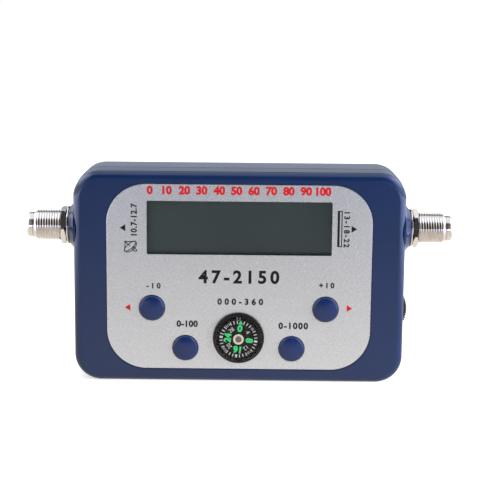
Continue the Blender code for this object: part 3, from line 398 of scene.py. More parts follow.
class MeterSizes(bpy.types.PropertyGroup):
    """Sizes of the fine detail that the solids leave out."""

    front_rim: length("Front rim", "Radius of the front shell's outer rim", 0.0023)
    rear_rim: length("Rear rim", "Radius of the rear shell's outer rim", 0.0025)
    seam_edge: length("Seam edge", "Rounding of both shells' edges along the seam", 0.00022)
    ink: length("Ink", "How far the printed marks stand off the panel", 0.00002)
    number_height: length("Number height", "Height of the red scale's numbers", 0.00245)
    thread_pitch: length("Thread pitch", "Pitch of the jacks' thread", 0.000794)
    thread_depth: length("Thread depth", "Depth of the jacks' thread", 0.0005)


class MeterColours(bpy.types.PropertyGroup):
    """Colours of the finishes, as they are without any gloss."""

    housing: colour("Housing", "Moulded plastic of both shells", (11, 33, 71))
    button: colour("Buttons", "Moulded plastic of the button caps", (10, 33, 78))
    panel: colour("Panel", "Silver lacquer of the printed panel", (212, 215, 221))
    black_ink: colour("Black ink", "Black print on the panel", (8, 8, 9))
    red_ink: colour("Red ink", "Red print on the panel", (172, 12, 24))
    green_ink: colour("Green ink", "Numbers of the compass card", (76, 255, 150))
    white_ink: colour("White ink", "Divisions of the compass card", (245, 247, 252))
    display: colour("Display", "Unlit liquid-crystal cell", (34, 55, 56))
    compass: colour("Compass", "Moulded plastic of the compass cup", (9, 9, 10))
    nickel: colour("Nickel", "Plating of the jacks", (228, 224, 219))
    wheel: colour("Thumbwheel", "Moulded plastic of the thumbwheel", (30, 31, 33))


class MeterStage(bpy.types.PropertyGroup):
    """The camera and the light."""

    camera_side: distance("Camera side", "How far to the right of the middle the camera stands", 0.00383)
    camera_back: distance("Camera back", "Where the camera stands in depth, below zero in front", -0.4515)
    camera_height: distance("Camera height", "How high the camera stands", 0.13165)
    camera_pitch: angle("Pitch", "How far the camera looks down", 11.17)
    camera_yaw: angle("Yaw", "How far the camera looks to the right", -0.47)
    camera_roll: angle("Roll", "How far the camera leans to its left", 0.48)
    lens: real("Lens", "Focal length in millimetres", 110.2, min=1)
    surround: strength("Surround", "Light from all round on dull surfaces", 0.5)
    overhead: strength("Overhead", "Power of the softbox above, in watts", 4.0)
    left: strength("Left", "Power of the softbox in front on the left, in watts", 0.8)
    right: strength("Right", "Power of the softbox on the right, in watts", 7.0)


class Wire:
    """A socket in a tree of nodes, on which sums are written as Python expressions."""

    def __init__(self, nodes, socket):
        self.nodes = nodes
        self.socket = socket

    def __add__(self, other):
        return self.nodes.worked_out("ADD", self, other)

    def __sub__(self, other):
        return self.nodes.worked_out("SUBTRACT", self, other)

    def __rsub__(self, other):
        return self.nodes.worked_out("SUBTRACT", other, self)

    def __mul__(self, other):
        return self.nodes.worked_out("MULTIPLY", self, other)

    __radd__ = __add__
    __rmul__ = __mul__

    def above(self, level):
        return self.nodes.worked_out("GREATER_THAN", self, level)


class Nodes:
    """A tree of nodes in the making. Every colour is given as its three channels."""

    MIX_FACTOR, MIX_FIRST, MIX_SECOND, MIX_RESULT = 0, 6, 7, 2

    def __init__(self, tree):
        self.tree = tree

    def feed(self, socket, value):
        if isinstance(value, Wire):
            self.tree.links.new(value.socket, socket)
        elif socket.type == "RGBA":
            socket.default_value = (*value, 1)
        else:
            socket.default_value = value

    def add(self, kind, settings, inputs, output=0):
        """A node of a type with its settings, then its sockets' values or wires, as one output's wire."""
        node = self.tree.nodes.new(kind)
        for setting, value in settings.items():
            setattr(node, setting, value)
        for socket, value in inputs.items():
            self.feed(node.inputs[socket], value)
        return Wire(self, node.outputs[output])

    def worked_out(self, operation, *values):
        return self.add("ShaderNodeMath", {"operation": operation}, dict(enumerate(values)))

    def axes(self, vector, names):
        return [self.add("ShaderNodeSeparateXYZ", {}, {"Vector": vector}, axis) for axis in names]

    def rays(self, *kinds):
        """For each kind of ray a wire that is 1 where such a ray looks, and 0 elsewhere."""
        return [self.add("ShaderNodeLightPath", {}, {}, f"Is {kind} Ray") for kind in kinds]

    def between(self, value, low, high, first=0, second=1):
        """The value moved from the range low to high into the range first to second, and held there."""
        inputs = {"Value": value, "From Min": low, "From Max": high, "To Min": first, "To Max": second}
        return self.add("ShaderNodeMapRange", {}, inputs)

    def spread(self, noise, first=0, second=1):
        return self.between(noise, *NOISE_RANGE, first, second)

    def mixed(self, factor, first, second):
        inputs = {self.MIX_FACTOR: factor, self.MIX_FIRST: first, self.MIX_SECOND: second}
        return self.add("ShaderNodeMix", {"data_type": "RGBA"}, inputs, self.MIX_RESULT)


class Finish(Nodes):
    """One node material in the making. Its colour is given as it is, or by its name in the sidebar."""

    def __init__(self, name, shade, roughness, **constants):
        self.shade = getattr(bpy.context.scene.meter_colours, shade) if isinstance(shade, str) else shade
        material = bpy.data.materials.new(name)
        material.use_nodes = True
        super().__init__(material.node_tree)
        self.shader = self.tree.nodes["Principled BSDF"]
        self.place = self.add("ShaderNodeTexCoord", {}, {}, "Object")
        self.set("Base Color", self.shade)
        self.set("Roughness", roughness)
        for socket, value in constants.items():
            self.set(socket.replace("_", " "), value)

    def set(self, socket, value):
        self.feed(self.shader.inputs[socket], value)

    def share(self, share):
        return tuple(min(1.0, value * share) for value in self.shade)

    def toned(self, level, dark, pale):
        """The finish's colour, moved by a level from 0 to 1 from a darker share of itself to a paler one."""
        return self.mixed(level, self.share(dark), self.share(pale))

    def stretched(self, x, y, z):
        return self.add("ShaderNodeMapping", {}, {"Vector": self.place, "Scale": (x, y, z)})

    def noise(self, scale, detail=2, place=None):
        inputs = {"Vector": place or self.place, "Scale": scale, "Detail": detail}
        return self.add("ShaderNodeTexNoise", {}, inputs, "Fac")

    def relief(self, height, depth):
        """A bump of a height from 0 to 1 and a depth in metres."""
        inputs = {"Height": height, "Distance": depth, "Strength": 1.0}
        self.set("Normal", self.add("ShaderNodeBump", {}, inputs, "Normal"))


def moulded(name, shade, roughness, grain, depth, metallic=0.0, specular=0.5):
    """Moulded plastic: a spark-eroded grain, clouds of colour from the melt, and a few fine scuffs."""
    made = Finish(name, shade, roughness, Metallic=metallic, Specular_IOR_Level=specular)
    cloud = made.noise(55, 3)
    scuff = made.noise(220, 4, made.stretched(1, 1, 9))
    rubbed = made.between(scuff, 0.62, 0.8, 0, 0.5)
    tone = made.toned(made.spread(cloud), 0.93, 1.07)
    made.set("Base Color", made.mixed(rubbed * 0.12, tone, made.share(1.5)))
    made.set("Roughness", made.spread(cloud, roughness - 0.03, roughness + 0.03) - rubbed * 0.06)
    made.relief(made.noise(1 / grain, 3), depth)


def lacquer(name, shade):
    """Silver lacquer behind a matt film: metal flakes, a faint grain along the sheet, and a little dust."""
    made = Finish(name, shade, 0.27, Metallic=0.85)
    flake = made.noise(5200, 2)
    streak = made.noise(900, 2, made.stretched(0.03, 1, 1))
    tone = made.toned(made.spread(flake, 0, 0.8) + made.spread(streak, 0, 0.2), 0.96, 1.04)
    dust = made.noise(2600, 1).above(0.77)
    made.set("Base Color", made.mixed(dust * 0.35, tone, DUST))
    made.set("Roughness", made.spread(flake, 0.26, 0.3))
    made.relief(flake, 0.0000003)


def ink(name, shade):
    """Screen-printed ink: slightly uneven in its cover and its gloss."""
    made = Finish(name, shade, 0.5, Specular_IOR_Level=0.25)
    cover = made.noise(2400, 3)
    made.set("Base Color", made.toned(made.between(cover, 0.35, 0.75), 0.92, 1.15))
    made.set("Roughness", made.spread(cover, 0.46, 0.56))
    made.relief(cover, 0.000003)


def clear_plastic(name):
    """Clear polished plastic with the faintest hairlines."""
    made = Finish(name, WHITE, 0.02, Transmission_Weight=1.0, IOR=1.22)
    hair = made.noise(700, 3, made.stretched(1, 1, 0.08))
    made.set("Roughness", made.between(hair, 0.55, 0.75, 0.01, 0.04))


def polariser(name, shade):
    """The unlit cell: a grey-green polariser film with a slow cloud and a soft, even grain."""
    made = Finish(name, shade, 0.35)
    cloud = made.noise(60, 2)
    grain = made.noise(6000, 1)
    level = made.between(cloud, 0.35, 0.65, 0, 0.7) + made.spread(grain, 0, 0.3)
    made.set("Base Color", made.toned(level, 0.88, 1.1))
    made.set("Roughness", made.spread(cloud, 0.3, 0.4))
    made.relief(grain, 0.000001)


def clouded(name, dark, pale, scale, detail, roughness, specular=0.5):
    """A surface that drifts between two colours and between two roughnesses."""
    made = Finish(name, dark, roughness[0], Specular_IOR_Level=specular)
    cloud = made.noise(scale, detail)
    made.set("Base Color", made.mixed(cloud, dark, pale))
    made.set("Roughness", made.spread(cloud, *roughness))


def metal(name, shade, roughness, haze, line):
    """Metal with a cloudy polish and fine lines round or along the piece."""
    made = Finish(name, shade, roughness, Metallic=1.0)
    cloud = made.noise(haze, 3)
    made.set("Base Color", made.toned(made.spread(cloud), 0.93, 1.05))
    made.set("Roughness", made.spread(cloud, roughness * 0.8, roughness * 1.3))
    made.relief(made.noise(line, 2), 0.0000015)


def layered_rubber(name):
    """Elastomer strip: thin dark conducting layers in a pink body."""
    made = Finish(name, linear(196, 128, 126), 0.6)
    waves = {"Vector": made.place, "Scale": 900.0}
    layers = made.add("ShaderNodeTexWave", {"bands_direction": "X"}, waves, "Fac")
    made.set("Base Color", made.mixed(layers.above(0.6), linear(200, 132, 130), linear(60, 48, 50)))
    made.relief(made.noise(5000, 2), 0.000004)


def solder_mask(name):
    """Green solder mask over copper tracks, which show as paler lines on a grid."""
    made = Finish(name, linear(18, 74, 44), 0.32)
    cells = {"Vector": made.place, "Scale": 260.0}
    tracks = made.add("ShaderNodeTexVoronoi", {"feature": "DISTANCE_TO_EDGE"}, cells, "Distance")
    on_track = 1 - made.between(tracks, 0.06, 0.1)
    weave = made.noise(1800, 2)
    ground = made.mixed(weave, linear(14, 62, 36), linear(22, 82, 48))
    made.set("Base Color", made.mixed(on_track, ground, linear(40, 112, 66)))
    made.set("Roughness", made.spread(weave, 0.28, 0.38))
    made.relief(on_track, 0.00003)


def floor_paint(name):
    """White floor; gloss sees a painted reflection on it, cream and dimmer towards the front, with a painted
    glow beside and painted shade behind.
    """
    made = Finish(name, FLOOR_PAINT, 0.9, Specular_IOR_Level=0.0, Emission_Strength=1.0)
    camera, glossy = made.rays("Camera", "Glossy")
    x, y = made.axes(made.place, "XY")
    # Painted reflection: for gloss rays the floor glows, cream and dimmer towards the front, brighter beside
    # and shaded behind
    painted_reflection = made.mixed(made.between(y, *FLOOR_GLOSS_REACH, *FLOOR_GLOSS), BLACK, FLOOR_REFLECTION_TINT)
    beside = made.between(made.worked_out("ABSOLUTE", x), *SIDE_GLOSS_REACH)
    painted_reflection = made.mixed(beside, painted_reflection, SIDE_COLOUR)
    painted_reflection = made.mixed(made.between(y, *REAR_GLOSS_REACH), painted_reflection, REAR_COLOUR)
    made.set("Emission Color", made.mixed(glossy, made.mixed(camera, BLACK, FLOOR_SEEN), painted_reflection))
    made.set("Base Color", made.mixed(glossy, FLOOR_PAINT, BLACK))


FINISHES = {
    # Mouldings and pressings: colour, roughness, size and depth of the grain, then metallic and specular
    "housing_plastic": (moulded, "housing", 0.17, 0.00022, 0.0000012),
    "button_plastic": (moulded, "button", 0.2, 0.0003, 0.000001),
    "compass_plastic": (moulded, "compass", 0.26, 0.0004, 0.0000004, 0.0, 0.35),
    "wheel_plastic": (moulded, "wheel", 0.45, 0.0002, 0.00001),
    "sintered": (moulded, linear(66, 66, 68), 0.55, 0.0002, 0.00001, 0.7),
    "black_moulding": (moulded, linear(26, 26, 28), 0.5, 0.00025, 0.00001),
    "pale_moulding": (moulded, linear(228, 225, 212), 0.42, 0.0003, 0.000006),
    "light_guide": (moulded, linear(232, 234, 226), 0.35, 0.0006, 0.000008),
    # Metals: colour, roughness, and how fine their haze and their lines are
    "nickel_plate": (metal, "nickel", 0.11, 400, 5000),
    "zinc_steel": (metal, linear(176, 178, 182), 0.3, 600, 6000),
    "gold_flash": (metal, linear(205, 172, 98), 0.22, 500, 6000),
    "tin_plate": (metal, linear(192, 194, 196), 0.32, 250, 3000),
    "drawn_can": (metal, linear(190, 191, 195), 0.28, 300, 4000),
    # Inks and films: colour
    "black_ink": (ink, "black_ink"),
    "red_ink": (ink, "red_ink"),
    "green_ink": (ink, "green_ink"),
    "white_ink": (ink, "white_ink"),
    "grey_ink": (ink, linear(112, 116, 110)),
    "panel_lacquer": (lacquer, "panel"),
    "display_film": (polariser, "display"),
    # Clouded: both colours, how fine and how detailed the clouds are, both roughnesses, then specular
    "cell_glass": (clouded, linear(62, 72, 68), linear(80, 90, 86), 120, 2, (0.05, 0.12)),
    "stone": (clouded, linear(92, 76, 66), linear(150, 134, 120), 1500, 3, (0.08, 0.2)),
    "card_print": (clouded, linear(7, 7, 8), linear(12, 12, 13), 7000, 3, (0.55, 0.65), 0.15),
    # Complete as they are
    "clear_plastic": (clear_plastic,),
    "contact_rubber": (layered_rubber,),
    "board_mask": (solder_mask,),
    "floor_white": (floor_paint,),
}


def finish(name):
    """The material of one finish, made the first time that it is asked for."""
    if name not in bpy.data.materials:
        make, *values = FINISHES[name]
        make(name, *values)
    return bpy.data.materials[name]


def mesh_of(name, bm):
    """A bmesh turned into a mesh and freed."""
    mesh = bpy.data.meshes.new(name)
    bm.to_mesh(mesh)
    bm.free()
    return mesh


def placed(name, data):
    """An object of a mesh, curve, light or camera, put into the scene."""
    obj = bpy.data.objects.new(name, data)
    bpy.context.scene.collection.objects.link(obj)
    return obj


def helper(bm):
    """A solid that takes part in a Boolean and is removed after it."""
    bmesh.ops.recalc_face_normals(bm, faces=bm.faces)
    return placed("helper", mesh_of("helper", bm))


def worked(base, *steps):
    """A base after each step, which is an operation and the solids that it is done with."""
    target = helper(base)
    tools = [(operation, helper(bm)) for operation, solids in steps for bm in solids]
    for operation, tool in tools:
        modifier = target.modifiers.new(operation, "BOOLEAN")
        modifier.operation = operation
        modifier.solver = "EXACT"
        modifier.object = tool
    bpy.context.view_layer.update()
    bm = bmesh.new()
    bm.from_object(target, bpy.context.evaluated_depsgraph_get())
    for obj in [target] + [tool for _, tool in tools]:
        bpy.data.objects.remove(obj)
    bmesh.ops.remove_doubles(bm, verts=bm.verts, dist=TINY)
    bmesh.ops.dissolve_degenerate(bm, edges=bm.edges, dist=TINY)
    return bm


def piece(name, bm, material, slot, *stands_for, body="housing"):
    """Makes a bmesh a piece of the model in its finish, riding on its body."""
    mesh = mesh_of(name, bm)
    mesh.shade_smooth()
    mesh.set_sharp_from_angle(angle=SMOOTH_ANGLE)
    mesh.materials.append(finish(material))
    obj = placed(name, mesh)
    even = obj.modifiers.new("even_normals", "WEIGHTED_NORMAL")
    even.keep_sharp = True
    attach(obj, body)
    if stands_for:
        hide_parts(*stands_for)


def round_edges(bm, edges, radius, steps):
    bmesh.ops.bevel(
        bm,
        geom=edges,
        offset=radius,
        offset_type="OFFSET",
        segments=steps,
        profile=ROUND_PROFILE,
        affect="EDGES",
        clamp_overlap=False,
        material=-1,
    )


def edges_along(bm, axis):
    found = []
    for edge in bm.edges:
        run = edge.verts[0].co - edge.verts[1].co
        if run.length - abs(run[axis]) < TINY:
            found.append(edge)
    return found


def rim_edges(bm, axis, place):
    """The sharp edges that lie in one plane across an axis."""
    found = []
    for edge in bm.edges:
        flat = all(abs(vert.co[axis] - place) < TINY for vert in edge.verts)
        if flat and len(edge.link_faces) == 2 and edge.calc_face_angle() > SMOOTH_ANGLE:
            found.append(edge)
    return found


def around(centre, half):
    return (centre - half, centre + half)


def block(x, y, z, radius=0, steps=CORNER_STEPS):
    """A box that spans x, y and z, each a (low, high) pair, its edges from front to back rounded."""
    bm = bmesh.new()
    bmesh.ops.create_cube(bm, size=1)
    bmesh.ops.scale(bm, vec=[high - low for low, high in (x, y, z)], verts=bm.verts)
    if radius:
        round_edges(bm, edges_along(bm, 1), radius, steps)
    bmesh.ops.translate(bm, vec=[(low + high) / 2 for low, high in (x, y, z)], verts=bm.verts)
    return bm


def arc(centre, radius, start, stop, steps=EDGE_STEPS * 2):
    """Points of an arc in a profile, its angles counted from the radius axis towards the height axis."""
    points = []
    for step in range(steps + 1):
        angle = start + (stop - start) * step / steps
        points.append((centre[0] + radius * math.cos(angle), centre[1] + radius * math.sin(angle)))
    return points


def crown(radius, rise, top):
    """The profile of a low dome from its middle to its rim, and the angle at which its arc ends."""
    bend = (radius**2 + rise**2) / (2 * rise)
    end = math.pi / 2 - math.asin(radius / bend)
    return arc((0, top - bend), bend, math.pi / 2, end, FILLET_STEPS), end


def turned(profile, centre, facing, steps=RING_STEPS, lift=0.0):
    """A profile of (radius, height) points turned about an axis through the centre, rising by lift a turn."""
    bm = bmesh.new()
    verts = [bm.verts.new((radius, 0, height)) for radius, height in profile]
    edges = [bm.edges.new(pair) for pair in zip(verts, verts[1:])]
    if not lift and (profile[0][0] or profile[-1][0]):
        edges.append(bm.edges.new((verts[-1], verts[0])))
    bmesh.ops.spin(
        bm,
        geom=verts + edges,
        cent=(0, 0, 0),
        axis=(0, 0, 1),
        dvec=(0, 0, lift / steps),
        angle=2 * math.pi,
        steps=steps,
        use_merge=not lift,
    )
    bmesh.ops.remove_doubles(bm, verts=bm.verts, dist=TINY)
    if lift:
        close_ends(bm, lift)
    bmesh.ops.recalc_face_normals(bm, faces=bm.faces)
    bmesh.ops.transform(bm, matrix=Matrix.Translation(centre) @ FACING[facing], verts=bm.verts)
    return bm


def cylinder(radius, high, low):
    """The profile of a cylinder, or of the bore that one leaves."""
    return [(0, high), (radius, high), (radius, low), (0, low)]


def eased_ring(hole, rim, low, high, ease):
    """The profile of a flat ring with eased outer edges."""
    profile = [(hole, high), (rim - ease, high), (rim, high - ease)]
    return profile + [(rim, low + ease), (rim - ease, low), (hole, low)]


def on_face(profile, place, steps=RING_STEPS):
    """A turned profile that faces the viewer at an (x, z) place, its heights counted from the front face."""
    return turned(profile, (place[0], FRONT_Y, place[1]), "front", steps)


def on_line(profile, side, steps=RING_STEPS):
    """A turned profile about the line of the jacks, its heights counted from the meter's middle."""
    return turned(profile, (0, LINE_Y, LINE_Z), side, steps)


def proud(y):
    """How far a depth stands in front of the front face."""
    return FRONT_Y - y


def close_ends(bm, lift):
    """Draws each open end of a screw-shaped sleeve together in a point on its axis."""
    middle = sum(vert.co.z for vert in bm.verts) / len(bm.verts)
    open_edges = [edge for edge in bm.edges if edge.is_boundary]
    for sign in (-1, 1):
        end = [edge for edge in open_edges if sign * (edge.verts[0].co.z - middle) > 0]
        grown = bmesh.ops.extrude_edge_only(bm, edges=end)["geom"]
        tips = [item for item in grown if isinstance(item, bmesh.types.BMVert)]
        tip_height = sign * max(sign * vert.co.z for vert in tips) + sign * lift
        bmesh.ops.pointmerge(bm, verts=tips, merge_co=(0, 0, tip_height))


def add_cone(bm, far_radius, radius, depth, matrix, steps):
    """Adds a closed cone, or with equal radii a cylinder or a prism, to a bmesh."""
    bmesh.ops.create_cone(
        bm, cap_ends=True, segments=steps, radius1=far_radius, radius2=radius, depth=depth, matrix=matrix
    )


def rods(places, radius, y, far_radius=None, steps=SMALL_STEPS):
    """One cylinder along Y, or one cone, at each (x, z) place."""
    bm = bmesh.new()
    for x, z in places:
        matrix = Matrix.Translation((x, sum(y) / 2, z)) @ FACING["front"]
        add_cone(bm, far_radius or radius, radius, y[1] - y[0], matrix, steps)
    return bm


def drafted(face_y, inset, fillet=0, past=OVERRUN):
    """The housing's outline from a little past the parting plane to a face, leaning in by the draft."""
    lean = math.tan(DRAFT_ANGLE)
    sign = 1 if face_y > PARTING_Y else -1
    open_y = PARTING_Y - sign * past
    reach = abs(face_y - PARTING_Y)
    open_half = BODY_HALF - inset + lean * past
    face_half = BODY_HALF - inset - lean * reach
    open_height = BODY_HEIGHT - 2 * inset + lean * past
    face_height = BODY_HEIGHT - 2 * inset - lean * reach
    bm = bmesh.new()
    bmesh.ops.create_cube(bm, size=1)
    bmesh.ops.scale(bm, vec=(2 * open_half, abs(face_y - open_y), open_height), verts=bm.verts)
    round_edges(bm, edges_along(bm, 1), CORNER_RADIUS - inset, CORNER_STEPS)
    bmesh.ops.translate(bm, vec=(0, (face_y + open_y) / 2, open_height / 2), verts=bm.verts)
    face_verts = [vert for vert in bm.verts if abs(vert.co.y - face_y) < TINY]
    bmesh.ops.scale(bm, vec=(face_half / open_half, 1, face_height / open_height), verts=face_verts)
    if fillet:
        rim = [edge for edge in bm.edges if all(vert in face_verts for vert in edge.verts)]
        round_edges(bm, rim, fillet, FILLET_STEPS)
    bmesh.ops.translate(bm, vec=(0, 0, inset), verts=bm.verts)
    return bm


def straight_outline(y, inset):
    """The housing's outline in the parting plane, shrunk on every side, as a straight block."""
    x = around(0, BODY_HALF - inset)
    return block(x, y, (inset, BODY_HEIGHT - inset), CORNER_RADIUS - inset)


def side_boss(side):
    """The swelling of the side wall under a jack's nut, flared into the wall."""
    profile = [(0, BOSS_REACH)]
    profile += arc((BOSS_FACE_RADIUS - BOSS_EDGE, BOSS_REACH - BOSS_EDGE), BOSS_EDGE, math.pi / 2, 0)
    top = BOSS_REACH - BOSS_EDGE
    foot = BODY_HALF - SLIDE_GAP
    for step in range(1, BOSS_FLARE_STEPS + 1):
        share = step / BOSS_FLARE_STEPS
        radius = BOSS_FACE_RADIUS + (BOSS_FOOT_RADIUS - BOSS_FACE_RADIUS) * share
        profile.append((radius, top + (foot - top) * math.sin(share * math.pi / 2)))
    profile += [(BOSS_FOOT_RADIUS, BODY_HALF - ROOT), (0, BODY_HALF - ROOT)]
    return on_line(profile, side)


def line_bores():
    """The holes of both jacks' barrels through the side walls."""
    profile = cylinder(BARREL_RADIUS + SEAT_GAP, BOSS_REACH + OVERRUN, INNER_HALF - OVERRUN)
    return [on_line(profile, side, BORE_STEPS) for side in SIDES]


def beyond_seam(y):
    """A block over a range of depths, larger than the housing to every side."""
    return block(around(0, BOSS_REACH + OVERRUN), y, (-OVERRUN, BODY_HEIGHT + OVERRUN))


def outer_shell(face_y, fillet, beyond, seam_y, seam_edge):
    """One cover's outer form, still solid, cut off at its parting plane with its seam edge eased."""
    bm = worked(drafted(face_y, 0, fillet), ("DIFFERENCE", [beyond_seam(beyond)]))
    round_edges(bm, rim_edges(bm, 1, seam_y), seam_edge, EDGE_STEPS)
    bosses = [worked(side_boss(side), ("DIFFERENCE", [beyond_seam(beyond)])) for side in SIDES]
    return worked(bm, ("UNION", bosses))


def window_block(margin, y):
    """A slightly rounded plate on the display's centre, larger than the window by a margin."""
    x = around(0, WINDOW_HALF_WIDTH + margin)
    return block(x, y, around(DISPLAY_Z, WINDOW_HALF_HEIGHT + margin), WINDOW_RADIUS, FILLET_STEPS)


def face_holes(y):
    """The window, the holes of the buttons and the hole of the compass, over a range of depths."""
    buttons = rods(BUTTON_PLACES, CAP_RADIUS + SLIDE_GAP, y)
    compass = rods([(0, COMPASS_Z)], CUP_RADIUS + SLIDE_GAP, y, steps=RING_STEPS)
    return window_block(0, y), buttons, compass


def front_shell(sizes):
    """Front shell: leaning walls, filleted rim, lip, panel recess, openings, posts, standoffs and rails."""
    outer = outer_shell(FRONT_Y, sizes.front_rim, (PARTING_Y, REAR_Y), PARTING_Y, sizes.seam_edge)
    lip = straight_outline((PARTING_Y - ROOT, PARTING_Y + LIP_HEIGHT), WALL * LIP_WALL_SHARE + SLIDE_GAP)
    tab_y = (PARTING_Y - ROOT, WHEEL_LOW.y - SLOT_GAP)
    tab_limits = block((INNER_HALF - OVERRUN, BOSS_REACH), tab_y, around(WHEEL_Z, SLOT_HALF - SLIDE_GAP))
    tab = worked(drafted(REAR_Y, GLUE_GAP), ("INTERSECT", [tab_limits]))
    hollow = drafted(INNER_Y, WALL, past=WHEEL_LOW.y - PARTING_Y)

    recess_y = (FRONT_Y - OVERRUN, FRONT_Y + PANEL_RECESS)
    recess_z = (PANEL_LOW.z - SLIDE_GAP, PANEL_HIGH.z + SLIDE_GAP)
    recess = block(around(0, PANEL_HIGH.x + SLIDE_GAP), recess_y, recess_z, PANEL_RADIUS)
    rebate_y = (FRONT_Y + PANEL_RECESS + WINDOW_LEDGE, INNER_Y + OVERRUN)
    rebate = window_block(WINDOW_MARGIN + SLIDE_GAP, rebate_y)
    window, *round_holes = face_holes((FRONT_Y - OVERRUN, INNER_Y + OVERRUN))

    foot = INNER_Y - ROOT
    stands = [rods(POST_PLACES, FRONT_POST_RADIUS, (foot, PARTING_Y))]
    for post_x, z in POST_PLACES:
        x = sorted((post_x, math.copysign(INNER_HALF + ROOT, post_x)))
        stands.append(block(x, (foot, PARTING_Y - RIB_DROP), around(z, RIB / 2)))
    stands.append(rods(STANDOFF_PLACES, STANDOFF_RADIUS, (foot, BOARD_Y - SEAT_GAP)))
    frame_low, frame_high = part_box("display_frame")
    for z in (frame_low.z - SEAT_GAP - RIB / 2, frame_high.z + SEAT_GAP + RIB / 2):
        stands.append(block(around(0, RAIL_LENGTH / 2), (foot, INNER_Y + RAIL_HEIGHT), around(z, RIB / 2)))
    holes = [
        rods(POST_PLACES, COVER_SCREW_RADIUS + SEAT_GAP, (INNER_Y, PARTING_Y + OVERRUN)),
        rods(STANDOFF_PLACES, BOARD_SCREW_RADIUS + SEAT_GAP, (INNER_Y, BOARD_Y + OVERRUN)),
    ]
    return worked(
        outer,
        ("UNION", [lip, tab]),
        ("DIFFERENCE", [hollow, recess, window, rebate, *round_holes]),
        ("UNION", stands),
        ("DIFFERENCE", holes + line_bores()),
    )


def rear_shell(sizes):
    """Rear shell: leaning walls, filleted rim, rebate for the lip, counterbored posts and wheel slot."""
    rim_y = PARTING_Y + SEAM_GAP
    outer = outer_shell(REAR_Y, sizes.rear_rim, (FRONT_Y, rim_y), rim_y, sizes.seam_edge)
    open_y = PARTING_Y - OVERRUN
    rebate = straight_outline((open_y, PARTING_Y + LIP_HEIGHT + SEAT_GAP), WALL * LIP_WALL_SHARE)
    past_y = REAR_Y + OVERRUN
    head_room = COVER_SCREW_HEAD + SEAT_GAP
    edge_y = (REAR_Y - COUNTERBORE_EDGE - OVERRUN, past_y)
    slot_y = (open_y, WHEEL_HIGH.y + SLOT_GAP)
    holes = [
        rods(POST_PLACES, head_room, (REAR_Y - COUNTERBORE_DEPTH, past_y)),
        rods(POST_PLACES, head_room - OVERRUN, edge_y, head_room + COUNTERBORE_EDGE + OVERRUN),
        rods(POST_PLACES, COVER_SCREW_RADIUS + SEAT_GAP, (open_y, REAR_Y)),
        block((INNER_HALF - OVERRUN, BOSS_REACH), slot_y, around(WHEEL_Z, SLOT_HALF)),
    ]
    return worked(
        outer,
        ("DIFFERENCE", [drafted(REAR_INNER_Y, WALL), rebate]),
        ("UNION", [rods(POST_PLACES, REAR_POST_RADIUS, (rim_y, REAR_Y - ROOT))]),
        ("DIFFERENCE", holes + line_bores()),
    )


class METER_OT_shells(bpy.types.Operator):
    """Model the front and rear shells"""

    bl_idname = "meter.shells"
    bl_label = "Shells"

    def execute(self, context):
        sizes = context.scene.meter_sizes
        piece("front_shell", front_shell(sizes), "housing_plastic", "housing", "front_cover")
        piece("rear_shell", rear_shell(sizes), "housing_plastic", "housing", "rear_cover")
        return {"FINISHED"}


def panel_sheet():
    """The printed sheet with its window and its holes, its face's edges broken."""
    y = (PANEL_LOW.y, PANEL_HIGH.y)
    bm = block(around(0, PANEL_HIGH.x), y, (PANEL_LOW.z, PANEL_HIGH.z), PANEL_RADIUS)
    round_edges(bm, rim_edges(bm, 1, PANEL_LOW.y), PANEL_EDGE, EDGE_STEPS)
    return worked(bm, ("DIFFERENCE", face_holes((FRONT_Y - OVERRUN, INNER_Y))))


def eased_plate(x, y, z, radius, edge):
    """A plate across the display, with both of its rims eased."""
    bm = block(x, y, z, radius, FILLET_STEPS)
    for face_y in y:
        round_edges(bm, rim_edges(bm, 1, face_y), edge, EDGE_STEPS)
    return bm


